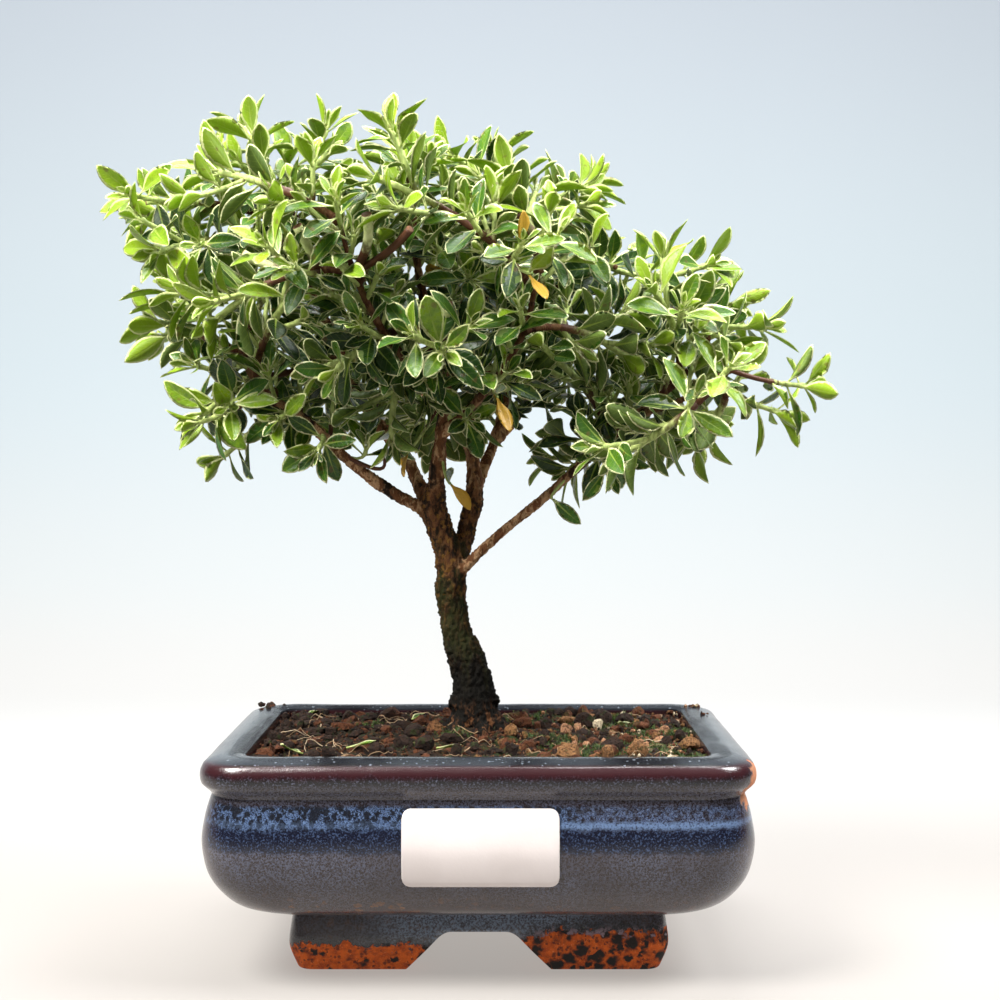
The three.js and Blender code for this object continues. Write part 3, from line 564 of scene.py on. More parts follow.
def growLeaf(shoot, frameAt, quarter, opening, size, random, room, tries):
    point, direction, side = frameAt
    length = size * between(random, 0.88, 1.12)
    width = length * leafGrowth["widthShare"] * between(random, 0.9, 1.1)
    curl = between(random, 0.06, 0.24)

    def need(facts):
        own = facts[:, 2] == shoot["spray"]
        leaf = facts[:, 1] == leafKind
        least = np.where(leaf, np.where(own, room["leafInSpray"], room["leafToLeaf"]),
                         facts[:, 0] + np.where(own, room["leafToOwnStem"], room["leafToStem"]))
        return np.where(own & (facts[:, 3] == shoot["shoot"]),
                        np.where(leaf, room["leafInShoot"], 0), least)

    for wider, swing in tries:
        out = turned(side, direction, 45 + 90 * quarter + swing)
        angle = math.radians(opening + wider)
        along = direction * math.cos(angle) + out * math.sin(angle)
        face = direction * math.sin(angle) - out * math.cos(angle) + upward * 0.5
        face = unit(face - along * (face @ along))
        leaf = {"at": point + out * 0.5, "along": along, "face": face, "sideways": np.cross(along, face),
                "length": length, "width": width, "curl": curl}
        points = leafChecks(leaf)
        if grown.isClear(points, need):
            grown.mark(points, 0.9, leafKind, shoot["spray"], shoot["shoot"])
            return leaf
    return None


def growPairs(shoot, plan, random, room, tries, firstPair=0, loose=False):
    reach = np.linalg.norm(shoot["curve"][0] - shoot["curve"][2])
    for i, (back, opening, size) in enumerate(plan):
        t = 1 - (back + leafGrowth["node"] / 2) / reach
        if t < 0.05:
            continue
        frameAt = shootFrame(shoot, t)
        for quarter in ((i + firstPair) % 2, (i + firstPair) % 2 + 2):
            if loose:
                wide, swing = fineGrowth["looseness"]
                opening += between(random, -wide, wide)
                quarter += between(random, -swing, swing)
            length = size * leafGrowth["length"]
            leaf = growLeaf(shoot, frameAt, quarter, opening, length, random, room, tries)
            if leaf:
                leaf["back"] = back
                shoot["leaves"].append(leaf)


sprays = growTwigs(limbNodes())
for spray in sprays:
    spray["shoots"] = growShoots(spray)
for spray in sprays:
    for shoot in spray["shoots"]:
        plan = "cutPairs" if shoot["cut"] else "mainPairs" if shoot["shoot"] == 0 else "sidePairs"
        draws = stream(1000 + spray["index"] * 16 + shoot["shoot"])
        growPairs(shoot, leafGrowth[plan], draws, clearances, leafGrowth["tries"])
print(f"{len(sprays)} sprays grown, as in the packed part")


# finer growth between these: more pairs lower on each shoot, small leaves at the tips, and short
# shoots on the twigs inside the canopy

fineGrowth = {
    "mainPairs": [(4.8, 58, 1), (13, 66, 1), (17.5, 70, 0.95), (22.5, 72, 0.85)],
    "cutPairs": [(6.8, 62, 1), (14, 68, 1), (18.5, 72, 0.9)],
    "sidePairs": [(4.6, 66, 1), (9, 70, 0.85)],
    "tipPairs": [(-0.5, 19, 0.56), (-1.3, 10, 0.34)],
    "tries": [(0, 0), (10, 15), (-10, -15), (14, 0), (-18, 0), (0, 32), (0, -32), (20, 30), (-20, -30)],
    "room": {"leafToLeaf": 1.7, "leafInSpray": 1.5, "leafInShoot": 1.3, "leafToStem": 0.9,
             "leafToOwnStem": 0.6},
    "innerRoom": {"leafToLeaf": 1.35, "leafInSpray": 1.3, "leafInShoot": 1.1, "leafToStem": 0.8,
                  "leafToOwnStem": 0.6},
    "tipRoom": {"leafToLeaf": 1.3, "leafInSpray": 1.0, "leafInShoot": 0.3, "leafToStem": 0.6,
                "leafToOwnStem": 0.2},
    "looseness": (13, 0.24),  # how far a pair strays: degrees open, quarter turns round
    "innerShoots": 640,
    "innerLength": (7, 15),
    "innerPairs": [(0, 36, 0.75), (1.4, 64, 0.95), (5, 68, 0.95), (9.5, 70, 0.8)],
    "innerSeed": 7,
    "innerTries": 8,
    "innerGap": 1.3,
    "handSeed": 91,
    "lowestShoot": 148,  # on the limbs
    "highestFill": 1.04,  # how far out of a blob an inner shoot may end
    "openRight": (40, 157),  # none ends beyond this x and below this z
}


def growTipPairs(shoot, draws):
    growPairs(shoot, fineGrowth["tipPairs"], draws, fineGrowth["tipRoom"], fineGrowth["tries"], 1)


def growFinePairs():
    for spray in sprays:
        for shoot in spray["shoots"]:
            draws = stream(3000 + spray["index"] * 16 + shoot["shoot"])
            if shoot["cut"]:
                plan = fineGrowth["cutPairs"]
            else:
                plan = fineGrowth["mainPairs" if shoot["shoot"] == 0 else "sidePairs"]
                growTipPairs(shoot, draws)
            growPairs(shoot, plan, draws, fineGrowth["room"], fineGrowth["tries"], 1, True)


def woodPlaces():
    # where short shoots can start: points of the twigs and limbs, with the direction there
    places = []
    for spray in sprays:
        for t in np.arange(0.25, 1, 0.12):
            if t < spray["start"]:
                places.append((alongCurve(spray["curve"], t), curveDirection(spray["curve"], t)))
    for _, path in limbShapes.values():
        line = smoothPath(path, 4)
        for i in range(len(line) // 3, len(line) - 1):
            if line[i][2] > fineGrowth["lowestShoot"]:
                places.append((line[i], unit(line[i + 1] - line[i])))
    return places


def growInnerShoots():
    draws = stream(fineGrowth["innerSeed"])
    places = woodPlaces()
    room, tries = fineGrowth["innerRoom"], fineGrowth["tries"]

    def need(facts):
        return facts[:, 0] + fineGrowth["innerGap"]

    made = []
    for number in range(1000, 1000 + fineGrowth["innerShoots"]):
        for _ in range(fineGrowth["innerTries"]):
            point, direction = places[int(draws() * len(places))]
            out = turned(sideOf(direction), direction, between(draws, 0, 360))
            reach = between(draws, *fineGrowth["innerLength"])
            leave = unit(direction * 0.6 + out + upward * 0.35)
            end = point + leave * reach + upward * (0.15 * reach)
            if min(depthIn(blob, end) for blob in canopyBlobs) > fineGrowth["highestFill"]:
                continue
            if end[0] > fineGrowth["openRight"][0] and end[2] < fineGrowth["openRight"][1]:
                continue
            curve = [point, point + leave * (0.55 * reach), end]
            if not grown.isClear([alongCurve(curve, t) for t in (0.45, 0.7, 0.85, 1)], need):
                continue
            shoot = newShoot(curve, between(draws, 0, 90), number, 0)
            shoot["inner"] = True
            for t in (0.4, 0.6, 0.8, 1):
                grown.mark(alongCurve(curve, t), 0.6, stemKind, number, 0)
            growPairs(shoot, fineGrowth["innerPairs"], draws, room, tries, loose=True)
            growTipPairs(shoot, draws)
            made.append(shoot)
            break
    return made


# shoots given one by one: the tip, a point it passes by, and what it is

handShoots = [
    ((-30.5, -51, 213.5), (-20, -47, 204), "stub"),
    ((-18.4, -51, 209.5), (-17, -46, 201), "oldStub"),
    ((-50.5, -42, 211.5), (-45, -37, 203.5), "stub"),
    ((-67.5, -30, 205), (-60, -26, 197.5), "stub"),
    ((-8.5, -40, 190), (-5, -34, 181), "stub"),
    ((-28.5, -15, 147.5), (-25.5, -11, 139), "dead"),
    ((-33.5, -13, 150), (-34, -10, 144), "small"),
    ((-76, -14, 147), (-68, -13, 153), "leafy"),
    ((-82, -22, 157), (-72, -18, 160), "leafy"),
    ((95, -26, 167.5), (82, -30, 168), "leafy"),
    ((88, -20, 160), (76, -26, 163), "leafy"),
    ((21.5, -13, 134.5), (20, -10.5, 136), "single"),
    ((38, -19, 143), (36, -14, 149), "leafy"),
    ((-8.5, -14, 139), (-12, -10, 141), "yellow"),
    ((-22, -15, 147.5), (-19, -11, 150), "yellow"),
    ((14.5, -48, 197.5), (11, -41, 199), "yellow"),
    ((5.5, -33, 164), (3, -25, 168), "yellow"),
    ((44, -20, 168), (44, -14, 160), "leafy"),
    ((30, -22, 158), (31, -14, 149), "leafy"),
    ((-3, -24, 158), (-6, -16, 158), "leafy"),
    ((-47, -22, 149), (-45, -15, 153), "leafy"),
    ((-58, -24, 158), (-56, -18, 160), "leafy"),
    ((-58, -50, 205), (-53, -40, 200), "leafy"),
    ((-50, -51, 199), (-46, -42, 197), "leafy"),
    ((-3, -52, 214), (1, -42, 208), "leafy"),
    ((12, -54, 205), (9, -43, 200), "leafy"),
    ((22, -50, 208), (18, -40, 201), "leafy"),
    ((70, -46, 172), (66, -36, 167), "leafy"),
    ((60, -45, 163), (57, -36, 159), "leafy"),
]

# radii at the foot and at the tip, and how many pairs of leaves
handShootKinds = {
    "stub": ((1.25, 1.5), 0),
    "oldStub": ((1.05, 1.2), 0),
    "dead": ((0.75, 0.45), 0),
    "small": ((0.5, 0.45), 2),
    "leafy": ((0.8, 0.65), 4),
    "single": ((0.45, 0.4), 1),
    "yellow": ((0.45, 0.4), 1),
}


def growHandShoots():
    draws = stream(fineGrowth["handSeed"])
    points = np.array([point for point, _ in woodPlaces()])
    made = []
    for number, (tip, passing, kind) in enumerate(handShoots, 2000):
        tip, passing = np.array(tip, float), np.array(passing, float)
        start = points[np.argmin(np.linalg.norm(points - passing, axis=1))]
        cut = kind in ("stub", "oldStub")
        if cut:
            passing = 0.3 * passing + 0.35 * (start + tip)
        shoot = newShoot([start, passing, tip], between(draws, 0, 90), number, 0, cut)
        shoot["inner"] = True
        shoot["radii"], pairs = handShootKinds[kind]
        shoot["dead"] = kind in ("dead", "oldStub")
        shoot["pale"] = kind == "stub"
        for t in (0.3, 0.5, 0.7, 0.85, 1):
            grown.mark(alongCurve(shoot["curve"], t), 0.9, stemKind, number, 0)
        plan = fineGrowth["innerPairs"][:pairs]
        growPairs(shoot, plan, draws, fineGrowth["room"], fineGrowth["tries"], loose=True)
        if kind == "yellow" and shoot["leaves"]:
            shoot["leaves"][0]["fade"] = 0.95
        if kind in ("leafy", "small"):
            growTipPairs(shoot, draws)
        made.append(shoot)
    return made


innerShoots = growHandShoots()
growFinePairs()
innerShoots += growInnerShoots()
leafTotal = sum(len(shoot["leaves"]) for spray in sprays for shoot in spray["shoots"])
print(f"{leafTotal} leaves on the sprays, {sum(len(s['leaves']) for s in innerShoots)} on "
      f"{len(innerShoots)} inner shoots")


# shader nodes: a graph adds nodes to a material or a group

class Graph:
    def __init__(self, tree):
        self.tree = tree

    def add(self, kind, inputs=None, **settings):
        node = self.tree.nodes.new(kind)
        for key, value in settings.items():
            setattr(node, key, value)
        for key, value in (inputs or {}).items():
            self.plug(node.inputs[key], value)
        return node

    def plug(self, socket, value):
        if isinstance(value, bpy.types.NodeSocket):
            self.tree.links.new(value, socket)
        elif socket.type == "RGBA" and len(value) == 3:
            socket.default_value = (*value, 1)
        else:
            socket.default_value = value

    def math(self, operation, *values):
        return self.add("ShaderNodeMath", dict(enumerate(values)), operation=operation).outputs[0]

    def times(self, first, second):
        return self.math("MULTIPLY", first, second)

    def plus(self, first, second):
        return self.math("ADD", first, second)

    def minus(self, first, second):
        return self.math("SUBTRACT", first, second)

    def stray(self, value, reach):
        # turns 0 to 1 into an equal way down and up, reach from end to end
        return self.math("MULTIPLY_ADD", value, reach, -reach / 2)

    def vector(self, operation, *values):
        return self.add("ShaderNodeVectorMath", dict(enumerate(values)), operation=operation).outputs[0]

    def scaled(self, vector, factor):
        return self.add("ShaderNodeVectorMath", {0: vector, "Scale": factor}, operation="SCALE").outputs[0]

    def lengthOf(self, vector):
        return self.add("ShaderNodeVectorMath", {0: vector}, operation="LENGTH").outputs["Value"]

    def axes(self, vector):
        return self.add("ShaderNodeSeparateXYZ", {0: vector}).outputs

    def ease(self, value, low, high, start=0.0, end=1.0):
        inputs = {"Value": value, "From Min": low, "From Max": high, "To Min": start, "To Max": end}
        return self.add("ShaderNodeMapRange", inputs, interpolation_type="SMOOTHSTEP").outputs[0]

    def blend(self, share, first, second, mode="MIX"):
        inputs = {0: share, 6: first, 7: second}
        return self.add("ShaderNodeMix", inputs, data_type="RGBA", blend_type=mode).outputs[2]

    def noise(self, place, scale, detail=2.0, rough=0.5, distort=0.0):
        inputs = {"Vector": place, "Scale": scale, "Detail": detail, "Roughness": rough}
        return self.add("ShaderNodeTexNoise", {**inputs, "Distortion": distort}).outputs["Fac"]

    def cells(self, place, scale):
        return self.add("ShaderNodeTexVoronoi", {"Vector": place, "Scale": scale}).outputs

    def attribute(self, name):
        return self.add("ShaderNodeAttribute", attribute_name=name).outputs["Fac"]

    def bump(self, height, depth):
        inputs = {"Height": height, "Distance": depth, "Strength": 1.0}
        return self.add("ShaderNodeBump", inputs).outputs[0]

    def group(self, tree, **inputs):
        return self.add("ShaderNodeGroup", inputs, node_tree=tree).outputs

    def surface(self, **inputs):
        names = {"base": "Base Color", "rough": "Roughness", "normal": "Normal", "coat": "Coat Weight",
                 "coatRough": "Coat Roughness", "specular": "Specular IOR Level", "ior": "IOR"}
        given = {names[key]: value for key, value in inputs.items()}
        return self.add("ShaderNodeBsdfPrincipled", given).outputs[0]


def newMaterial(name):
    material = bpy.data.materials.new(name)
    material.use_nodes = True
    material.node_tree.nodes.clear()
    return material, Graph(material.node_tree)


def endMaterial(graph, shader):
    graph.add("ShaderNodeOutputMaterial", {"Surface": shader})


def newGroup(name, inputs, outputs):
    tree = bpy.data.node_groups.new(name, "ShaderNodeTree")
    for key, (kind, value) in inputs.items():
        socket = tree.interface.new_socket(key, in_out="INPUT", socket_type="NodeSocket" + kind)
        if value is not None:
            socket.default_value = value
    for key, kind in outputs.items():
        tree.interface.new_socket(key, in_out="OUTPUT", socket_type="NodeSocket" + kind)
    graph = Graph(tree)
    return tree, graph, graph.add("NodeGroupInput").outputs, graph.add("NodeGroupOutput").inputs


def placeGroup():
    # where a point lies in the pot's own frame, in millimetres
    tree, graph, _, ends = newGroup("place", {}, {"Place": "Vector", "Height": "Float"})
    here = graph.add("ShaderNodeTexCoord").outputs["Object"]
    place = graph.scaled(graph.vector("SUBTRACT", here, tuple(potMiddle)), 1000)
    graph.plug(ends["Place"], place)
    graph.plug(ends["Height"], graph.axes(place)["Z"])
    return tree


def specksGroup():
    # small round spots: a share of the cells of the given size carries one
    inputs = {"Place": ("Vector", None), "Size": ("Float", 1.0), "Share": ("Float", 0.5),
              "Soft": ("Float", 0.15)}
    tree, graph, starts, ends = newGroup("specks", inputs, {"Mask": "Float"})
    place, size, share = starts["Place"], starts["Size"], starts["Share"]
    scale = graph.math("DIVIDE", 1, size)
    warp = graph.add("ShaderNodeTexNoise", {"Vector": place, "Scale": graph.times(scale, 1.7)})
    reach = graph.add("ShaderNodeCombineXYZ", {0: size, 1: size, 2: size}).outputs[0]
    moved = graph.vector("ADD", place, graph.vector("MULTIPLY", warp.outputs["Color"], reach))
    cell = graph.cells(moved, scale)
    luck = graph.axes(cell["Color"])["X"]
    chosen = graph.math("LESS_THAN", luck, share)
    rank = graph.math("DIVIDE", luck, graph.math("MAXIMUM", share, 0.01))
    radius = graph.math("MULTIPLY_ADD", rank, -0.22, 0.42)
    inside = graph.ease(graph.minus(cell["Distance"], radius), starts["Soft"], 0.0)
    graph.plug(ends["Mask"], graph.times(chosen, inside))
    return tree


placeTree = placeGroup()
specksTree = specksGroup()


def speckMask(graph, place, size, share, soft):
    return graph.group(specksTree, Place=place, Size=size, Share=share, Soft=soft)["Mask"]


# leaves and green shoots

foliageLooks = {
    "leafOld": (0.013, 0.046, 0.006),
    "leafMiddle": (0.046, 0.138, 0.008),
    "leafYoung": (0.26, 0.40, 0.018),
    "margin": (0.90, 0.90, 0.50),
    "rib": (0.34, 0.45, 0.075),
    "under": (0.125, 0.19, 0.040),
    "fading": (0.62, 0.36, 0.045),
    "marginWidth": 0.34,  # millimetres
    "ribWidth": 0.22,
    "sheen": 0.29,  # roughness
    "throughLight": 0.25,  # share of the light that passes through
    "throughTint": (1.0, 1.0, 0.5),
    "throughGreen": (0.42, 0.62, 0.06),
    "shootGreen": (0.45, 0.53, 0.17),
    "shootDark": (0.22, 0.29, 0.075),
    "youngWood": (0.080, 0.028, 0.011),
    "cutWood": (0.15, 0.065, 0.026),
    "stubPale": (0.52, 0.55, 0.27),
}


def leafColourGroup():
    outputs = {"Colour": "Color", "Rough": "Float", "Normal": "Vector"}
    tree, graph, starts, ends = newGroup("leaf colour", {"Upper": ("Float", 1.0)}, outputs)
    looks = foliageLooks
    place = graph.group(placeTree)["Place"]
    # the age attribute holds real age from the tip together with painted shade deep and low in the canopy
    # and painted light on its sides
    age, tint, fade = graph.attribute("age"), graph.attribute("tint"), graph.attribute("fade")
    edge, rib, along = graph.attribute("fromEdge"), graph.attribute("fromRib"), graph.attribute("along")
    cloud = graph.noise(place, 0.45, 3.0, 0.6)
    agedAndShaded = graph.plus(age, graph.stray(cloud, 0.5))
    agedAndShaded = graph.plus(agedAndShaded, graph.stray(tint, 0.5))
    green = graph.blend(graph.ease(agedAndShaded, 0.0, 0.45), looks["leafYoung"], looks["leafMiddle"])
    green = graph.blend(graph.ease(agedAndShaded, 0.4, 0.95), green, looks["leafOld"])
    # side veins leave the rib at a slant
    slant = graph.minus(graph.times(along, 24), graph.times(rib, 1.5))
    vein = graph.math("SINE", graph.times(slant, 1.9))
    veins = graph.ease(vein, 0.8, 1.0)
    green = graph.blend(graph.times(veins, 0.13), green, looks["rib"])
    # a ragged cream margin and the pale rib
    ragged = graph.stray(graph.noise(place, 1.1, 3.0, 0.65), 0.9)
    wide = graph.ease(agedAndShaded, 0.1, 0.7, looks["marginWidth"] + 0.2, looks["marginWidth"])
    wide = graph.plus(wide, graph.times(ragged, 0.9))
    margin = graph.ease(graph.minus(edge, wide), 0.12, -0.06)
    ribWide = graph.times(graph.ease(along, 0.75, 0.05, 0.25, 1.4), looks["ribWidth"])
    ribMask = graph.ease(graph.minus(rib, ribWide), 0.16, -0.05)
    ribMask = graph.times(ribMask, graph.ease(along, 0.92, 0.45, 0.25, 1.0))
    petiole = graph.ease(along, 0.15, 0.08)
    under = graph.blend(graph.ease(agedAndShaded, 0.0, 0.7), looks["leafYoung"], looks["under"])
    under = graph.blend(graph.times(veins, 0.2), under, looks["rib"])
    base = graph.blend(starts["Upper"], under, green)
    base = graph.blend(graph.times(ribMask, 0.8), base, looks["rib"])
    cream = graph.blend(0.45, looks["margin"], looks["leafYoung"])
    cream = graph.blend(graph.ease(agedAndShaded, 0.0, 0.5), cream, looks["margin"])
    base = graph.blend(graph.times(margin, 0.92), base, cream)
    base = graph.blend(petiole, base, looks["shootGreen"])
    # a few turn yellow from the rim, and all have small brown marks
    worn = graph.plus(fade, graph.stray(cloud, 0.7))
    yellow = graph.times(graph.ease(worn, 0.3, 0.8), graph.ease(fade, 0.05, 0.3))
    base = graph.blend(yellow, base, looks["fading"])
    marks = speckMask(graph, place, size=1.6, share=0.07, soft=0.2)
    base = graph.blend(graph.times(marks, 0.5), base, looks["cutWood"])
    graph.plug(ends["Colour"], base)
    gloss = graph.math("MULTIPLY_ADD", cloud, 0.16, looks["sheen"] - 0.08)
    duller = graph.times(graph.minus(1, starts["Upper"]), 0.18)
    graph.plug(ends["Rough"], graph.plus(gloss, duller))
    relief = graph.plus(graph.times(ribMask, -0.5), graph.noise(place, 2.2, 2.0))
    relief = graph.plus(graph.times(veins, -0.35), relief)
    graph.plug(ends["Normal"], graph.bump(relief, 0.00012))
    return tree


leafColourTree = leafColourGroup()


def leafMaterial(name, upper):
    material, graph = newMaterial(name)
    looks = graph.group(leafColourTree, Upper=upper)
    colour = looks["Colour"]
    surface = graph.surface(base=colour, rough=looks["Rough"], normal=looks["Normal"],
                            specular=0.42 if upper else 0.25)
    glow = graph.blend(1.0, colour, foliageLooks["throughTint"], "MULTIPLY")
    glow = graph.blend(0.22, glow, foliageLooks["throughGreen"])
    through = graph.add("ShaderNodeBsdfTranslucent", {"Color": glow, "Normal": looks["Normal"]}).outputs[0]
    mixed = graph.add("ShaderNodeMixShader", {0: foliageLooks["throughLight"], 1: surface, 2: through})
    endMaterial(graph, mixed.outputs[0])
    return material


def shootMaterial():
    material, graph = newMaterial("green shoot")
    looks = foliageLooks
    place = graph.group(placeTree)["Place"]
    woody, cut, fromEnd = graph.attribute("woody"), graph.attribute("cut"), graph.attribute("fromEnd")
    pale = graph.attribute("pale")
    streaks = graph.noise(graph.vector("MULTIPLY", place, (1.0, 1.0, 0.35)), 0.9, 3.0, 0.6)
    base = graph.blend(graph.ease(streaks, 0.35, 0.75), looks["shootGreen"], looks["shootDark"])
    pale = graph.times(pale, graph.ease(streaks, 0.7, 0.3, 0.5, 0.95))
    base = graph.blend(pale, base, looks["stubPale"])
    turning = graph.plus(woody, graph.stray(streaks, 0.8))
    base = graph.blend(graph.ease(turning, 0.35, 0.85), base, looks["youngWood"])
    endCut = graph.times(cut, graph.ease(fromEnd, 0.35, 0.05))
    base = graph.blend(endCut, base, looks["cutWood"])
    surface = graph.surface(base=base, rough=0.55, normal=graph.bump(streaks, 0.0003), specular=0.3)
    endMaterial(graph, surface)
    return material


leafUpper = leafMaterial("leaf upper face", 1.0)
leafUnder = leafMaterial("leaf underside", 0.0)
greenShoot = shootMaterial()


leafForm = {
    "rows": (0.0, 0.045, 0.1, 0.19, 0.31, 0.44, 0.57, 0.7, 0.82, 0.93),
    "across": (-1, -0.62, -0.28, 0, 0.28, 0.62, 1),
    "below": (0.5, 0, -0.5),
    "petiole": 0.09,  # share of the length
    "petioleHalf": 0.42,
    "roundness": (1.0, 1.45),  # where the leaf is widest
    "bluntness": (0.62, 0.88),
    "fold": (0.14, 0.46),
    "wave": (0.05, 0.2),
    "twist": 0.4,
    "bend": 0.1,
    "ribThick": 0.42,
    "bladeThick": 0.24,
    "yellowing": 0.0016,  # share of the leaves
}

plainLeafForm = {
    **leafForm,
    "rows": (0.0, 0.05, 0.13, 0.27, 0.43, 0.6, 0.77, 0.91),
    "across": (-1, -0.5, 0, 0.5, 1),
    "below": (0,),
}


def leafMeshPart(leaves, seed, form=leafForm):
    # every leaf of a list at once: rings round the blade from the foot up, and a tip point
    random = np.random.default_rng(seed)
    count = len(leaves)

    def draw(low, high):
        return random.uniform(low, high, (count, 1, 1))

    def take(key):
        return np.array([leaf[key] for leaf in leaves], float)[:, None, None]

    length, width, curl = take("length"), take("width"), take("curl")
    shares = np.array(form["rows"] + (1.0,))[None, :, None]
    across = np.array(form["across"] + form["below"], float)[None, None, :]
    blade = np.clip((shares - form["petiole"]) / (1 - form["petiole"]), 0, 1)
    outline = np.sin(math.pi * blade ** draw(*form["roundness"])).clip(0)
    half = 0.5 * width * outline ** draw(*form["bluntness"])
    stalk = form["petioleHalf"] * (1 - easeBetween(shares, 0.1, 0.5))
    half = np.sqrt(half ** 2 + stalk ** 2)
    x = across * half
    side = np.where(across < 0, -1.0, 1.0)
    lift = draw(*form["fold"]) * (np.sqrt(x * x + 0.09) - 0.3)
    lift = lift + draw(-0.02, 0.14) * x * x / 3
    waves = np.sin(draw(5, 9) * shares + draw(0, 6.3) + side * draw(0.6, 2.2))
    lift = lift + draw(*form["wave"]) * half * across ** 2 * waves
    lift = lift - curl * length * shares ** 2
    below = np.array([0.0] * len(form["across"]) + [1.0] * len(form["below"]))[None, None, :]
    thick = np.where(across == 0, form["ribThick"], form["bladeThick"]) * (1 - 0.6 * shares)
    lift = lift - below * np.maximum(thick, 0.9 * stalk * (across ** 2 < 0.1))
    swing = draw(-form["twist"], form["twist"]) * shares
    x, lift = x * np.cos(swing) - lift * np.sin(swing), x * np.sin(swing) + lift * np.cos(swing)
    x = x + draw(-form["bend"], form["bend"]) * length * shares ** 2
    y = np.broadcast_to(shares * length, x.shape)
    points = take("at") + x[..., None] * take("sideways") + y[..., None] * take("along")
    points = points + lift[..., None] * take("face")
    around = across.shape[2]
    rings = len(form["rows"])
    body = points[:, :rings].reshape(count, rings * around, 3)
    middle = len(form["across"]) // 2
    tip = points[:, rings, middle][:, None]
    perLeaf = rings * around + 1
    everything = np.concatenate([body, tip], axis=1).reshape(-1, 3)

    def spread(values):
        full = np.broadcast_to(values, (count, rings + 1, around))
        last = full[:, rings, middle:middle + 1]
        return np.concatenate([full[:, :rings].reshape(count, -1), last], axis=1).ravel()

    yellow = (random.random((count, 1, 1)) < form["yellowing"]) * draw(0.5, 1.0)
    yellow = np.maximum(yellow, np.array([leaf.get("fade", 0.0) for leaf in leaves])[:, None, None])
    values = {
        "fromEdge": spread((1 - abs(across)) * half),
        "fromRib": spread(abs(across) * half),
        "along": spread(shares),
        # age: for the leaves on the tree it holds painted shade and painted light as well as real age
        "age": spread(take("age")),
        "tint": spread(random.random((count, 1, 1))),
        "fade": spread(yellow),
    }
    offsets = (np.arange(count) * perLeaf)[:, None, None]
    low = np.arange(rings - 1)[:, None] * around

    def quads(columns):
        columns = np.array(columns)
        after = (columns + 1) % around
        grid = np.stack([low + columns, low + after, low + after + around, low + columns + around], axis=-1)
        return (grid.reshape(1, -1, 4) + offsets).reshape(-1, 4)

    def tips(columns):
        columns = np.array(columns)
        start = (rings - 1) * around
        ends = np.full(len(columns), rings * around)
        fan = np.stack([start + columns, start + (columns + 1) % around, ends], axis=-1)
        return (fan.reshape(1, -1, 3) + offsets).reshape(-1, 3)

    top = list(range(len(form["across"]) - 1))
    under = list(range(len(form["across"]) - 1, around))
    foot = (np.arange(around)[::-1].reshape(1, 1, -1) + offsets).reshape(-1, around)
    faces = [quads(top), tips(top), quads(under), tips(under), foot]
    return {"points": everything, "values": values, "faces": faces, "skins": [0, 0, 1, 1, 1]}


shootForm = {
    "mainRadii": (1.2, 0.85),
    "sideRadii": (0.85, 0.7),
    "innerRadii": (0.7, 0.6),
    "node": 0.3,  # how far a node stands out
    "sides": 7,
    "step": 1.3,
    "woodyAfter": 24,  # from the tip
    "innerWoodyAfter": 14,
}

# how much each cause adds to a leaf's age, or takes off it at the rim of the canopy; only the distance back
# from the tip is real age, depth in the canopy and low height add painted shade, and the rim term is
# painted light
leafAgeAndPaintedShade = {"back": 0.54, "depth": 0.42, "shade": 0.56, "rim": 0.22}


def shootPart(shoot):
    inner = shoot.get("inner", False)
    key = "innerRadii" if inner else "mainRadii" if shoot["shoot"] == 0 else "sideRadii"
    thick, thin = shoot.get("radii", shootForm[key])
    curve = shoot["curve"]
    reach = np.linalg.norm(curve[2] - curve[0])
    begin = -0.04 if shoot["shoot"] == 0 and not inner else 0.0
    shares = np.linspace(begin, 1, max(4, int(reach / shootForm["step"])))
    path = np.array([alongCurve(curve, t) for t in shares])
    back = (1 - shares) * reach
    radii = thick + (thin - thick) * shares
    for node in sorted({leaf["back"] for leaf in shoot["leaves"]}):
        radii = radii + shootForm["node"] * np.exp(-((back - node - 0.6) / 0.8) ** 2)
    if not shoot["cut"]:
        radii = radii * (1 - 0.45 * easeBetween(back, 1.5, 0))
    dome = -0.6 if shoot["cut"] else 1.1  # cut ends are hollow
    made = tubePart(path, radii, shootForm["sides"], dome, cut=float(shoot["cut"]))
    fromTip = made["values"]["fromEnd"]
    woodyAfter = shootForm["innerWoodyAfter" if inner else "woodyAfter"]
    made["values"]["woody"] = np.clip(fromTip / woodyAfter + shoot.get("dead", False), 0, 1) ** 1.5
    made["values"]["pale"] = float(shoot.get("pale", False))
    made["skin"] = 2
    return made


def ageAndPaintedShadeOf(leaf):
    # leaves are younger near the tip, high up and far out; only the tip term is real age, the height and
    # depth terms paint shade deep inside and low in the canopy, and the rim term paints light on its sides
    tip = leaf["at"] + leaf["along"] * leaf["length"]
    depth = min(depthIn(blob, tip) for blob in canopyBlobs)
    deep = np.clip((1.06 - depth) / 0.42, 0, 1)
    outer = np.clip(abs(tip[0] + 8) / 88, 0, 1) ** 1.5
    shade = np.clip((234 - tip[2]) / 80, 0, 1) * (1 - 0.62 * outer)
    fresh = np.clip((leaf["back"] - 1) / 6, 0, 1)
    rim = easeBetween(abs(tip[0] + 2), 50, 84)
    age = leafAgeAndPaintedShade["back"] * fresh + leafAgeAndPaintedShade["depth"] * deep + leafAgeAndPaintedShade["shade"] * shade
    return float(np.clip(age - leafAgeAndPaintedShade["rim"] * rim, 0, 1))


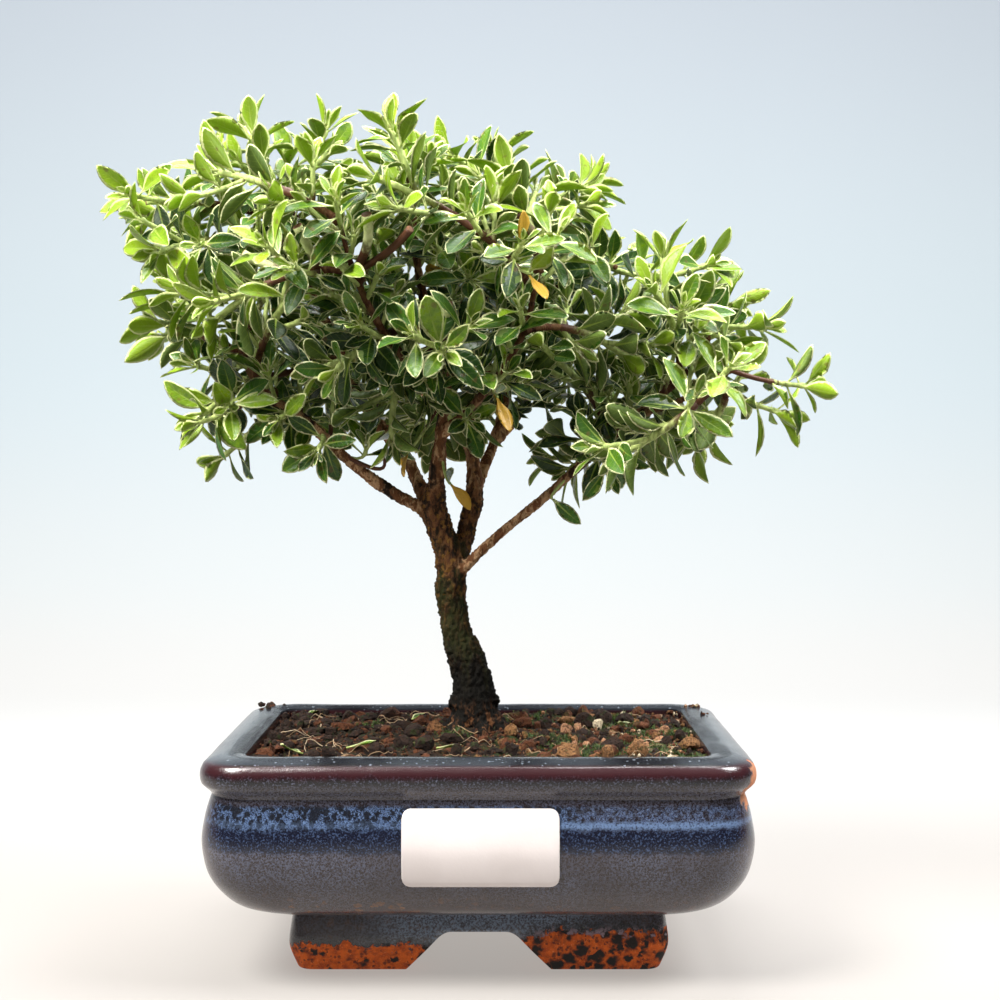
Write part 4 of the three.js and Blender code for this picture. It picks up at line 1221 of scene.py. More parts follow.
def foliagePiece(name, shoots, seed, form, *replaced):
    leaves = [leaf for shoot in shoots for leaf in shoot["leaves"]]
    for leaf in leaves:
        # each leaf's age carries painted shade inside and low in the canopy and painted light at its sides,
        # over its real age
        leaf["age"] = ageAndPaintedShadeOf(leaf)
    parts = [shootPart(shoot) for shoot in shoots]
    if leaves:
        parts.append(leafMeshPart(leaves, seed, form))
    made = newObject(name, makeMesh(name, joinParts(parts)), leafUpper, leafUnder, greenShoot)
    finishPiece(made, "foliage", *replaced)


for number, spray in enumerate(sprays, 1):
    foliagePiece(f"fine_spray_{number:02d}", spray["shoots"], 500 + number, leafForm, f"spray_{number:02d}")
third = len(innerShoots) // 3 + 1
for part in range(3):
    some = innerShoots[part * third:(part + 1) * third]
    foliagePiece(f"inner_foliage_{part + 1}", some, 601 + part, plainLeafForm)
print("foliage built")


# the wood: trunk, roots, limbs and twigs, with rough bark

woodForm = {
    "voxel": 0.55,
    "knots": [  # x, y, z, radius
        (-12.8, -2, 126.5, 3.2), (-5.8, -1.4, 113.5, 2.2), (-10.8, 1, 108, 3.0), (-5.4, -1, 96, 2.4),
        (-1.6, -1.4, 84, 3.0), (-6.6, 1, 90, 2.8), (2.8, -1, 73, 3.4), (-6.6, -1, 72, 3.4),
    ],
    "roots": [  # start and end: x, y, z, radius
        ((-1, 0, 71, 4.8), (7.5, -5, 62, 2.6)), ((-2.4, -1, 70, 4.6), (-8, -7, 61.6, 2.4)),
        ((-2.4, 0, 70, 4.4), (-11.5, 2, 61.4, 2.0)), ((-1.5, 1, 70, 4.4), (2, 9.5, 61.6, 2.2)),
        ((-1, -1, 69, 4.4), (1.8, -9, 61.3, 2.2)), ((-0.6, 1, 70, 4.4), (9, 5.5, 61.5, 1.9)),
    ],
    "twigRadii": (1.1, 0.85),
    "trunkRelief": 1.6,
    "limbRelief": 0.5,
}

barkHeights = {  # from no such colour to all of it
    "rust": (140, 112),
    "moss": (134, 112),
    "scurf": (96, 116),
    "soaked": (104, 78),
    "splash": (75, 66),
}

barkLooks = {
    "soaked": (0.0055, 0.0045, 0.003),
    "dark": (0.024, 0.014, 0.008),
    "brown": (0.190, 0.080, 0.033),
    "flake": (0.52, 0.31, 0.16),
    "ochre": (0.24, 0.115, 0.026),
    "moss": (0.026, 0.032, 0.008),
    "young": (0.080, 0.028, 0.012),
    "youngPale": (0.16, 0.080, 0.034),
}


def woodLines():
    lines = [smoothPath(trunkShape["path"], 1.5)]
    for (thick, thin), path in limbShapes.values():
        last = len(path) - 1
        rows = [(*point, thick + (thin - thick) * i / last) for i, point in enumerate(path)]
        line = smoothPath(rows, 1.5)
        away = np.linalg.norm(line[:, :3] - line[0, :3], axis=1)
        line[:, 3] *= 1 + 0.45 * np.exp(-(away / 4) ** 2)
        swell = np.array([noise.noise(Vector(row[:3]) * 0.12) for row in line])
        line[:, 3] *= 1 + 0.22 * swell
        lines.append(line)
    for start, end in woodForm["roots"]:
        middle = (np.array(start) * 0.45 + np.array(end) * 0.55) + np.array([0, 0, 0.6, -0.3])
        below = np.array(end) * 1.25 - np.array(start) * 0.25
        lines.append(smoothPath([start, middle, end, below], 1.5))
    return lines


def barkRelief(point):
    # how far the bark stands out, as a share of the relief
    tall = Vector((point.x * 0.55, point.y * 0.55, point.z * 0.24))
    coarse = noise.fractal(tall, 0.8, 2.2, 4)
    stretched = Vector((point.x * 1.1, point.y * 1.1, point.z * 0.3))
    ridge = 0.5 - abs(noise.noise(stretched + Vector((7, 3, 1))))
    fine = noise.noise(point * 1.25)
    return 0.30 * coarse + 0.40 * (ridge - 0.3) + 0.48 * fine


def barkMaterial():
    material, graph = newMaterial("bark")
    looks = barkLooks
    found = graph.group(placeTree)
    place, height = found["Place"], found["Height"]
    thick = graph.attribute("thick")
    tall = graph.vector("MULTIPLY", place, (1.0, 1.0, 0.4))
    cloud = graph.noise(tall, 0.16, 4.0, 0.62, 0.4)
    patch = graph.noise(tall, 0.42, 4.0, 0.6, 0.8)
    grain = graph.noise(graph.vector("MULTIPLY", place, (1.0, 1.0, 0.3)), 1.6, 3.0, 0.65)
    age = graph.ease(graph.plus(thick, graph.stray(cloud, 3.2)), 0.95, 3.4)
    base = graph.blend(graph.ease(patch, 0.42, 0.62), looks["young"], looks["youngPale"])
    limb = graph.blend(graph.ease(patch, 0.46, 0.55), looks["brown"], looks["flake"])
    limb = graph.blend(graph.ease(cloud, 0.46, 0.36), limb, looks["dark"])
    base = graph.blend(graph.ease(thick, 1.05, 1.6), base, limb)
    trunk = graph.blend(graph.ease(patch, 0.40, 0.62), looks["dark"], looks["brown"])
    rust = graph.times(graph.ease(patch, 0.55, 0.66), graph.ease(height, *barkHeights["rust"]))
    trunk = graph.blend(rust, trunk, looks["ochre"])
    mossy = graph.times(graph.ease(cloud, 0.43, 0.6), graph.ease(height, *barkHeights["moss"]))
    trunk = graph.blend(graph.times(mossy, 0.85), trunk, looks["moss"])
    scurf = speckMask(graph, place, size=1.5, share=0.34, soft=0.25)
    scurf = graph.times(scurf, graph.ease(height, *barkHeights["scurf"]))
    trunk = graph.blend(graph.times(scurf, 0.8), trunk, looks["ochre"])
    base = graph.blend(graph.ease(age, 0.55, 0.95), base, trunk)
    wet = graph.plus(height, graph.stray(cloud, 50))
    base = graph.blend(graph.ease(wet, *barkHeights["soaked"]), base, looks["soaked"])
    splash = graph.times(graph.ease(height, *barkHeights["splash"]), graph.ease(patch, 0.5, 0.62))
    base = graph.blend(graph.times(splash, 0.8), base, looks["brown"])
    base = graph.blend(graph.times(graph.ease(grain, 0.5, 0.3), 0.6), base, looks["soaked"])
    rough = graph.ease(grain, 0.2, 0.8, 0.62, 0.92)
    normal = graph.bump(graph.plus(grain, graph.times(patch, 0.8)), 0.0008)
    endMaterial(graph, graph.surface(base=base, rough=rough, normal=normal, specular=0.15))
    return material


def buildWood():
    lines = woodLines()
    parts = [tubePart(line[:, :3], line[:, 3], 20 if i == 0 else 12) for i, line in enumerate(lines)]
    for x, y, z, radius in woodForm["knots"]:
        path = [(x, y, z - 0.6 * radius), (x, y, z), (x, y, z + 0.6 * radius)]
        parts.append(tubePart(path, [radius * 0.7, radius, radius * 0.7], 12))
    whole = newObject("bark_and_limbs", makeMesh("wood core", joinParts(parts)))
    remesh = whole.modifiers.new("remesh", "REMESH")
    remesh.mode = "VOXEL"
    remesh.voxel_size = woodForm["voxel"] / 1000
    smooth = whole.modifiers.new("smooth", "SMOOTH")
    smooth.iterations = 3
    smooth.factor = 0.5
    applyModifiers(whole)
    mesh = whole.data
    samples = np.vstack(lines)
    tree = kdtree.KDTree(len(samples))
    for i, row in enumerate(samples):
        tree.insert(Vector(row[:3]), i)
    tree.balance()
    near = [tree.find_n(Vector(point), 9) for point in pointsOf(mesh)]
    thick = np.array([np.mean([samples[found[1]][3] for found in row]) for row in near])
    share = np.clip((thick - 1.2) / 2.6, 0, 1)
    relief = woodForm["limbRelief"] * (1 - share) + woodForm["trunkRelief"] * share
    standOut(mesh, barkRelief, relief)
    layer = mesh.attributes.new("thick", "FLOAT", "POINT")
    layer.data.foreach_set("value", thick.astype(np.float32))
    twigs = []
    for spray in sprays:
        shares = np.linspace(0, spray["start"] + 0.02, 16)
        path = np.array([alongCurve(spray["curve"], t) for t in shares])
        radii = np.linspace(*woodForm["twigRadii"], 16) * (1 + 0.5 * np.exp(-(np.arange(16) / 2) ** 2))
        radii[[4, 8, 12]] *= 1.14
        twigs.append(tubePart(path, radii, 8, 0.5, thick=0.9))
    twigMesh = makeMesh("twigs", joinParts(twigs))
    joined = bmesh.new()
    joined.from_mesh(mesh)
    joined.from_mesh(twigMesh)
    joined.to_mesh(mesh)
    joined.free()
    bpy.data.meshes.remove(twigMesh)
    dress(mesh, barkMaterial())
    finishPiece(whole, "bark", "trunk")
    print(f"wood built, {len(mesh.polygons)} faces")


buildWood()


# the pot

potForm = {
    "width": 155, "depth": 118,
    # how far in from the widest, height, corner radius; outside, over the rim, and down inside
    "outside": [
        (23.5, 17, 9), (19.5, 17.5, 10.5), (15.5, 18.4, 12), (9, 21, 14), (4.4, 25.4, 15.5), (1.4, 31, 16),
        (0, 39, 16), (0.8, 46.5, 15.5), (2.2, 51.6, 14), (2.8, 53.3, 13.5), (1.7, 55.0, 13.2),
        (0.4, 56.6, 13), (0, 58.6, 13), (0.2, 60.6, 13), (0.9, 62.1, 12.4), (2.4, 63.1, 11.6),
        (6, 64, 10), (10.4, 63.9, 7.4), (11.9, 63.4, 6.6),
    ],
    "inside": [
        (12.2, 62.4, 6), (12.5, 56, 6.2), (13.2, 43, 6.5), (16.5, 31, 8), (18.8, 27.5, 8), (22, 25.5, 8),
    ],
    "foot": [(25.4, 0, 4.6), (25.1, 0.4, 5), (23, 6.8, 5), (23.3, 12, 5), (24.2, 17.6, 5)],
    "hollow": {"inset": 34, "corner": 3, "height": 18},
    "archFront": {"ground": 21.8, "top": 10}, "archSide": {"ground": 16.3, "top": 7.2},
    "arch": {"height": 11.4, "shoulder": 9.1, "round": 2.2},
    "drain": {"radius": 5.5, "offset": 28},
    "bevel": 0.5,
    "unevenness": 0.16,
    "evenBelow": 18.5,
    "chip": (76.6, -49.5, 55.6),
    "chipReach": (4.6, 3.9),
}

glazeLooks = {
    "clay": (0.70, 0.122, 0.007),
    "clayDark": (0.38, 0.052, 0.004),
    "clayPale": (0.86, 0.34, 0.13),
    "chip": (0.52, 0.23, 0.115),
    "stain": (0.014, 0.009, 0.007),
    "lilac": (0.26, 0.17, 0.20),
    "nearBlack": (0.006, 0.006, 0.008),
    "maroon": (0.030, 0.007, 0.009),
    "navy": (0.005, 0.006, 0.016),
    "brown": (0.022, 0.012, 0.010),
    "brownLow": (0.050, 0.030, 0.022),
    "greyBlue": (0.084, 0.088, 0.126),
    "speckBlue": (0.075, 0.120, 0.235),
    "net": (0.115, 0.175, 0.30),
    "slate": (0.030, 0.035, 0.042),
    "mist": (0.25, 0.29, 0.33),
    "ring": (0.19, 0.25, 0.34),
    "rust": (0.18, 0.075, 0.022),
    "gloss": 0.14,  # roughness
}

glazeHeights = {  # from none of that part of the glaze to all of it
    "ring": (17.6, 16.2),
    "under": (18.6, 15.8),
    "rust": (29, 20),
    "lowBelly": (34, 21),
    "thinEnds": (24, 38),
    "band": (38.2, 40.0),
    "net": (44.6, 46.4),
    "streak": 46.6,
    "neck": (51.0, 52.4),
    "face": (56.6, 58.4),
    "maroon": (58.2, 60.8),
    "top": (62.3, 63.2),
}


def roundedRing(inset, height, corner, straight=(30, 22), steps=12):
    halfX = potForm["width"] / 2 - inset
    halfY = potForm["depth"] / 2 - inset
    points = []
    corners = [(1, 1), (-1, 1), (-1, -1), (1, -1)]
    for quarter, (signX, signY) in enumerate(corners):
        angles = (quarter + np.arange(steps + 1) / steps) * math.pi / 2
        x = signX * (halfX - corner) + corner * np.cos(angles)
        y = signY * (halfY - corner) + corner * np.sin(angles)
        points.append(np.column_stack([x, y]))
        nextX, nextY = corners[(quarter + 1) % 4]
        start = points[-1][-1]
        turn = (quarter + 1) * math.pi / 2
        end = np.array([nextX * (halfX - corner), nextY * (halfY - corner)])
        end += corner * np.array([math.cos(turn), math.sin(turn)])
        count = straight[quarter % 2]
        shares = (np.arange(1, count) / count)[:, None]
        points.append(start + (end - start) * shares)
    ring = np.vstack(points)
    return np.column_stack([ring, np.full(len(ring), height)])


def skinPart(rings):
    # a closed skin over rings of equal count, capped flat at both ends
    count = len(rings[0])
    quads, around, _ = ringQuads(len(rings), count)
    low = around[::-1][None]
    high = (around + (len(rings) - 1) * count)[None]
    return {"points": np.vstack(rings), "faces": [quads, low, high], "values": {}}


def prism(outline, low, high, axis):
    # an outline drawn in the upright plane, pulled through along an axis
    column = "xy".index(axis)
    return skinPart([np.insert(outline, column, reach, axis=1) for reach in (low, high)])


def archOutline(form):
    arch = potForm["arch"]
    ground, top = form["ground"], form["top"]
    side = [(ground, -1.0), (top + arch["round"], arch["shoulder"])]
    start, control = np.array(side[-1]), np.array([top, arch["height"]])
    end = np.array([top - arch["round"], arch["height"]])
    side += [alongCurve((start, control, end), t) for t in np.arange(1, 9) / 8]
    right = np.array(side)
    left = right[::-1] * np.array([-1, 1])
    return np.vstack([right, left])


def combine(target, other, operation):
    modifier = target.modifiers.new(operation.lower(), "BOOLEAN")
    modifier.operation = operation
    modifier.solver = "MANIFOLD"
    modifier.object = other
    applyModifiers(target)
    bpy.data.objects.remove(other)


def cutAway(target, part):
    combine(target, newObject("cutter", makeMesh("cutter", part)), "DIFFERENCE")


def netColour(graph, place, right, fine, finer):
    # bright lines between dark round holes, which are larger on the left
    looks = glazeLooks
    swirl = graph.add("ShaderNodeTexNoise", {"Vector": place, "Scale": 0.8, "Detail": 2.0})
    warp = graph.vector("ADD", place, graph.scaled(swirl.outputs["Color"], 2.6))
    flat = graph.vector("MULTIPLY", warp, (1.0, 1.0, 0.8))
    small = graph.cells(flat, 0.62)["Distance"]
    large = graph.cells(flat, 0.2)["Distance"]
    holes = graph.ease(small, 0.60, 0.40)
    leftSide = graph.ease(right, -18, -30)
    big = graph.times(graph.ease(large, 0.34, 0.22), leftSide)
    holes = graph.math("MAXIMUM", holes, big)
    lines = graph.blend(graph.ease(fine, 0.40, 0.62), looks["speckBlue"], looks["net"])
    lines = graph.blend(graph.ease(finer, 0.60, 0.40), lines, looks["navy"])
    return graph.blend(graph.times(holes, 0.93), lines, looks["nearBlack"])


def clayColour(graph, place, right, finer):
    # bare clay, darker in clouds, with pale grains and dark stains
    looks = glazeLooks
    firing = graph.noise(place, 0.5, 3.0, 0.6)
    clay = graph.blend(graph.ease(firing, 0.35, 0.7), looks["clay"], looks["clayDark"])
    clay = graph.blend(graph.ease(finer, 0.58, 0.72, 0.0, 0.6), clay, looks["clayPale"])
    often = graph.ease(right, 0, 24, 0.16, 0.85)
    stains = speckMask(graph, place, size=4.4, share=often, soft=0.3)
    blots = speckMask(graph, place, size=2.3, share=graph.times(often, 0.7), soft=0.3)
    freckles = speckMask(graph, place, size=1.1, share=0.34, soft=0.2)
    stained = graph.math("MAXIMUM", stains, blots)
    stained = graph.math("MAXIMUM", stained, graph.times(freckles, 0.7))
    return graph.blend(stained, clay, looks["stain"])


def glazeMaterial():
    material, graph = newMaterial("speckled glaze over clay")
    looks, heights = glazeLooks, glazeHeights
    found = graph.group(placeTree)
    place, height = found["Place"], found["Height"]
    right = graph.axes(place)["X"]
    broad = graph.noise(place, 0.035, 3.0, 0.55)
    wander = graph.noise(graph.vector("MULTIPLY", place, (1.0, 1.0, 0.3)), 0.22, 3.0, 0.6)
    level = graph.plus(height, graph.stray(wander, 3.2))
    tight = graph.plus(height, graph.stray(wander, 1.2))
    fine = graph.noise(place, 1.7, 3.0, 0.7)
    finer = graph.noise(place, 3.2, 2.0, 0.7)

    # the belly: fine grey and blue specks on brown
    specks = graph.ease(graph.plus(fine, graph.stray(finer, 0.5)), 0.42, 0.58)
    belly = graph.blend(specks, looks["brown"], looks["greyBlue"])
    bluer = graph.ease(finer, 0.56, 0.70)
    belly = graph.blend(graph.times(bluer, 0.55), belly, looks["speckBlue"])
    belly = graph.blend(graph.times(graph.ease(broad, 0.62, 0.40), 0.45), belly, looks["brown"])
    belly = graph.blend(graph.ease(level, *heights["lowBelly"], 0.0, 0.5), belly, looks["brownLow"])
    # a dark band with blue specks round the widest part
    band = graph.blend(graph.ease(fine, 0.50, 0.66), looks["navy"], looks["speckBlue"])
    band = graph.blend(0.5, band, looks["navy"])
    base = graph.blend(graph.ease(level, *heights["band"]), belly, band)
    # the bright net above it, calmer on the right
    net = netColour(graph, place, right, fine, finer)
    rightSide = graph.ease(right, 20, 32)
    streakAt = graph.math("ABSOLUTE", graph.minus(tight, heights["streak"]))
    streak = graph.times(graph.ease(streakAt, 1.6, 0.2), graph.ease(fine, 0.30, 0.58))
    streak = graph.times(streak, graph.ease(right, -30, 24, 0.22, 1.0))
    calm = graph.blend(0.6, net, belly)
    net = graph.blend(graph.times(rightSide, 0.7), net, calm)
    net = graph.blend(streak, net, looks["net"])
    base = graph.blend(graph.ease(level, *heights["net"]), base, net)
    # the neck under the rim
    neck = graph.blend(graph.times(specks, 0.75), looks["brown"], looks["greyBlue"])
    base = graph.blend(graph.ease(tight, *heights["neck"]), base, neck)
    # the face of the rim: nearly black, with maroon where the glaze is thin
    face = graph.blend(graph.ease(fine, 0.52, 0.66), looks["nearBlack"], looks["greyBlue"])
    face = graph.blend(graph.ease(level, *heights["maroon"]), face, looks["maroon"])
    base = graph.blend(graph.ease(tight, *heights["face"]), base, face)
    top = graph.blend(graph.ease(broad, 0.35, 0.65), looks["slate"], looks["nearBlack"])
    pits = speckMask(graph, place, size=0.9, share=0.12, soft=0.1)
    top = graph.blend(graph.times(pits, 0.5), top, looks["mist"])
    base = graph.blend(graph.ease(height, *heights["top"]), base, top)
    # thin glaze lets the maroon through on the corners and at the ends of the belly
    fromMiddle = graph.math("ABSOLUTE", right)
    ends = graph.ease(fromMiddle, 69.5, 77)
    thin = graph.times(ends, graph.ease(height, *heights["thinEnds"]))
    thin = graph.times(thin, graph.ease(wander, 0.32, 0.62))
    base = graph.blend(graph.times(thin, 0.75), base, looks["maroon"])
    # rust spots low on the belly
    spots = speckMask(graph, place, size=2.3, share=0.35, soft=0.3)
    low = graph.times(graph.ease(height, *heights["rust"]), graph.ease(wander, 0.36, 0.56))
    low = graph.times(low, graph.ease(right, -20, 10, 1.0, 0.35))
    base = graph.blend(graph.times(graph.times(spots, low), 0.8), base, looks["rust"])
    # under the belly the glaze runs thin and dark, and ends ragged on the feet
    under = graph.ease(tight, *heights["under"])
    base = graph.blend(graph.times(under, 0.75), base, looks["brown"])
    onRing = graph.times(graph.ease(tight, *heights["ring"]), graph.ease(fine, 0.40, 0.60, 0.10, 1.0))
    onRing = graph.times(onRing, graph.ease(fromMiddle, 40, 16, 0.15, 1.0))
    base = graph.blend(graph.times(onRing, 0.8), base, looks["ring"])
    ragged = graph.noise(place, 0.32, 4.0, 0.65)
    drip = graph.plus(height, graph.stray(ragged, 11))
    edgeHeight = graph.ease(right, 5, 22, 7.6, 11.4)
    above = graph.minus(drip, edgeHeight)
    onClay = graph.ease(above, 0.35, -0.35)
    edge = graph.times(graph.ease(above, 3.2, 0.6), graph.minus(1, onClay))
    base = graph.blend(graph.times(edge, 0.8), base, looks["nearBlack"])
    lilac = graph.times(edge, graph.ease(right, 8, 16))
    lilac = graph.times(lilac, graph.ease(ragged, 0.5, 0.62))
    base = graph.blend(lilac, base, looks["lilac"])
    clay = clayColour(graph, place, right, finer)
    # a chip of bare clay on the right front corner of the rim
    away = graph.vector("SUBTRACT", place, potForm["chip"])
    away = graph.vector("MULTIPLY", away, (1.0, 0.9, 0.6))
    reach = graph.plus(graph.lengthOf(away), graph.stray(ragged, 5))
    chip = graph.ease(reach, *potForm["chipReach"])
    clay = graph.blend(graph.times(chip, 0.75), clay, looks["chip"])
    bare = graph.math("MAXIMUM", onClay, chip)
    base = graph.blend(bare, base, clay)
    rough = graph.ease(fine, 0.3, 0.7, looks["gloss"], looks["gloss"] + 0.1)
    rough = graph.plus(graph.times(bare, 0.6), rough)
    relief = graph.plus(graph.times(fine, 0.35), graph.times(broad, 3.0))
    relief = graph.plus(relief, graph.times(bare, -1.2))
    normal = graph.bump(relief, 0.00022)
    coat = graph.times(graph.minus(1, bare), 0.3)
    surface = graph.surface(base=base, rough=rough, normal=normal, coat=coat, coatRough=0.06)
    endMaterial(graph, surface)
    return material


def buildPot():
    rows = np.array(potForm["outside"] + potForm["inside"], float)
    profile = smoothPath(rows, 1.25)
    bowl = newObject("glazed_pot", makeMesh("pot", skinPart([roundedRing(*row) for row in profile])))
    foot = skinPart([roundedRing(*row, (16, 12), 8) for row in smoothPath(potForm["foot"], 1.2)])
    feet = newObject("feet", makeMesh("feet", foot))
    hollow = potForm["hollow"]
    inset, corner = hollow["inset"], hollow["corner"]
    rings = [roundedRing(inset, z, corner, (2, 2), 6) for z in (-1, hollow["height"])]
    cutAway(feet, skinPart(rings))
    cutAway(feet, prism(archOutline(potForm["archFront"]), 90, -90, "y"))
    cutAway(feet, prism(archOutline(potForm["archSide"]), -90, 90, "x"))
    bevel = feet.modifiers.new("bevel", "BEVEL")
    bevel.width = potForm["bevel"] / 1000
    bevel.segments = 2
    bevel.limit_method = "ANGLE"
    bevel.angle_limit = math.radians(38)
    applyModifiers(feet)
    combine(bowl, feet, "UNION")
    drain = potForm["drain"]
    angles = np.arange(32) / 32 * 2 * math.pi
    y = drain["radius"] * np.sin(angles)
    for side in (-1, 1):
        x = side * drain["offset"] + drain["radius"] * np.cos(angles)
        cutAway(bowl, skinPart([np.column_stack([x, y, np.full(32, z)]) for z in (10, 30)]))
    mesh = bowl.data
    above = (pointsOf(mesh)[:, 2] > potForm["evenBelow"]) * potForm["unevenness"]
    standOut(mesh, lambda point: noise.noise(point * 0.045) + 0.4 * noise.noise(point * 0.12), above)
    dress(mesh, glazeMaterial())
    mesh.set_sharp_from_angle(angle=math.radians(36))
    finishPiece(bowl, "pot", "pot")
    print(f"pot built, {len(mesh.polygons)} faces")


buildPot()


# the soil with its gravel, crumbs, moss, root fibres and fallen leaves

soilForm = {
    "level": 61.5, "mound": 4.2, "moundRadius": 17, "foot": (-1.5, 0),
    "halfX": 65.1, "halfY": 46.6, "inset": 12.5, "corner": 6,
    "walls": [(22.5, 26.2, 8), (17, 31, 8), (13.7, 43, 6.5), (12.8, 58, 6)],  # inset, height, corner
    "points": ((46, 34), 5),  # along the sides, and round each corner
    "roughness": 1.3,
    "stones": 440, "stoneSize": (0.8, 3.7),
    "crumbs": 5200, "crumbSize": (0.3, 0.95),
    "mossTufts": 1500, "mossLimits": (64.6, 46.1),
    "fibres": 70, "fibreStarts": (58, 41), "fibreLimits": (63, 45),
    # crumbs on the rim: place, spread and number of each group
    "spilt": [((-70.5, 50), 1.5, 26), ((-71, 42), 0.9, 7), ((70.5, 46), 1.1, 12), ((72, 30), 0.5, 3)],
    "rimTop": 64.1,
    "rimLimits": (75.5, 57),
    "fallen": [  # x, y, heading, size, age
        (-50, -37, 2.4, 0.72, 0.55), (-38, -31, 0.5, 0.68, 0.5), (-12, -36, 0.1, 0.5, 0.6),
        (-58, 37, 0.9, 0.55, 0.8), (43, 14, 5.1, 0.5, 0.9), (-22, 25, 1.1, 0.55, 0.9),
    ],
    "mossAt": [  # middle x, y and reach of the patches
        (34, -30, 9), (50, -24, 10), (57, 6, 10), (24, -12, 9), (40, 26, 12), (10, 16, 8),
        (-20, -20, 4), (-36, 20, 5), (-8, -12, 5), (60, -38, 7), (14, 36, 7),
    ],
}

soilLooks = {
    "earth": (0.008, 0.0045, 0.003),
    "earthBrown": (0.040, 0.016, 0.006),
    "stoneRed": (0.100, 0.032, 0.012),
    "stoneTan": (0.22, 0.105, 0.040),
    "stonePink": (0.40, 0.20, 0.105),
    "stonePale": (0.58, 0.47, 0.31),
    "stoneDark": (0.018, 0.0095, 0.0065),
    "moss": (0.024, 0.050, 0.007),
    "mossTip": (0.10, 0.155, 0.025),
    "fibre": (0.30, 0.19, 0.10),
    "fibrePale": (0.45, 0.34, 0.22),
}


def soilHeight(x, y):
    waves = 0.7 * np.sin(0.21 * x + 1) * np.cos(0.26 * y)
    ripples = 0.4 * np.sin(0.47 * x - 0.39 * y)
    away = np.hypot(x - soilForm["foot"][0], y - soilForm["foot"][1]) / soilForm["moundRadius"]
    return soilForm["level"] + waves + ripples + soilForm["mound"] * np.exp(-away * away)


def mossShare(x, y):
    near = [np.exp(-(np.hypot(x - cx, y - cy) / reach) ** 2) for cx, cy, reach in soilForm["mossAt"]]
    return np.clip(1.5 * np.max(near, axis=0) - 0.25, 0, 1)


def lumps(x, y):
    return noise.fractal(Vector((x * 0.33, y * 0.33, 4.0)), 0.75, 2.2, 5)


def roughUnder(places):
    return soilForm["roughness"] * np.array([lumps(x, y) for x, y in places])


def groundUnder(places):
    return soilHeight(places[:, 0], places[:, 1]) + roughUnder(places)


def soilPart():
    # rings from the floor up the wall, then ever smaller ones over the top
    rings = [roundedRing(*row, *soilForm["points"]) for row in soilForm["walls"]]
    edge = roundedRing(soilForm["inset"], soilForm["level"], soilForm["corner"], *soilForm["points"])
    for share in np.linspace(1, 0.012, 72):
        rows = edge * np.array([share, share, 1])
        rows[:, 2] = soilHeight(rows[:, 0], rows[:, 1])
        rows[:, 2] += roughUnder(rows[:, :2]) - 1.1 * easeBetween(share, 0.93, 1)
        rings.append(rows)
    return skinPart(rings)


def ballPart(divisions):
    ball = bmesh.new()
    bmesh.ops.create_icosphere(ball, subdivisions=divisions, radius=1)
    points = np.array([vertex.co[:] for vertex in ball.verts])
    faces = np.array([[vertex.index for vertex in face.verts] for face in ball.faces])
    ball.free()
    return points, faces


def stonesPart(places, sizes, divisions, seed, angular=8):
    # broken stones: balls cut flat by random planes, squashed and turned at random
    random = np.random.default_rng(seed)
    ball, faces = ballPart(divisions)
    count = len(places)
    planes = random.normal(size=(count, angular, 3))
    planes /= np.linalg.norm(planes, axis=2)[..., None]
    depths = random.uniform(0.5, 0.92, (count, angular))
    facing = np.einsum("vk,npk->nvp", ball, planes)
    reach = np.where(facing > 0.05, depths[:, None] / np.maximum(facing, 0.05), 9).min(axis=2)
    shapes = ball[None] * np.minimum(reach, 1.0)[..., None]
    squash = random.uniform(0.55, 1.35, (count, 1, 3)) * np.array([1, 1, 0.9])
    shapes = shapes * random.uniform(0.84, 1.12, (count, len(ball), 1))
    shapes = shapes * squash * np.asarray(sizes)[:, None, None]
    turns = random.uniform(0, 2 * math.pi, count)
    cos, sin = np.cos(turns)[:, None], np.sin(turns)[:, None]
    x = shapes[..., 0] * cos - shapes[..., 1] * sin
    y = shapes[..., 0] * sin + shapes[..., 1] * cos
    points = np.stack([x, y, shapes[..., 2]], axis=-1) + np.asarray(places)[:, None]
    offsets = (np.arange(count) * len(ball))[:, None, None]
    faces = [(faces[None] + offsets).reshape(-1, 3)]
    values = {"luck": np.repeat(random.random(count), len(ball))}
    return {"points": points.reshape(-1, 3), "faces": faces, "values": values, "crisp": True}


def scatter(count, low, high, seed, spacing, clearOfTrunk=8.5):
    random = np.random.default_rng(seed)
    made, sizes = [], []
    tries = 0
    while len(made) < count and tries < count * 30:
        tries += 1
        size = low + (high - low) * random.random() ** 2.2
        x = random.uniform(-1, 1) * (soilForm["halfX"] - 0.8 * size)
        y = random.uniform(-1, 1) * (soilForm["halfY"] - 0.8 * size)
        if math.hypot(x - soilForm["foot"][0], y) < clearOfTrunk + size:
            continue
        if made:
            gaps = np.hypot(np.array(made)[:, 0] - x, np.array(made)[:, 1] - y)
            if (gaps < spacing * (np.array(sizes) + size)).any():
                continue
        made.append((x, y))
        sizes.append(size)
    places, sizes = np.array(made), np.array(sizes)
    return np.column_stack([places, groundUnder(places) + 0.28 * sizes]), sizes


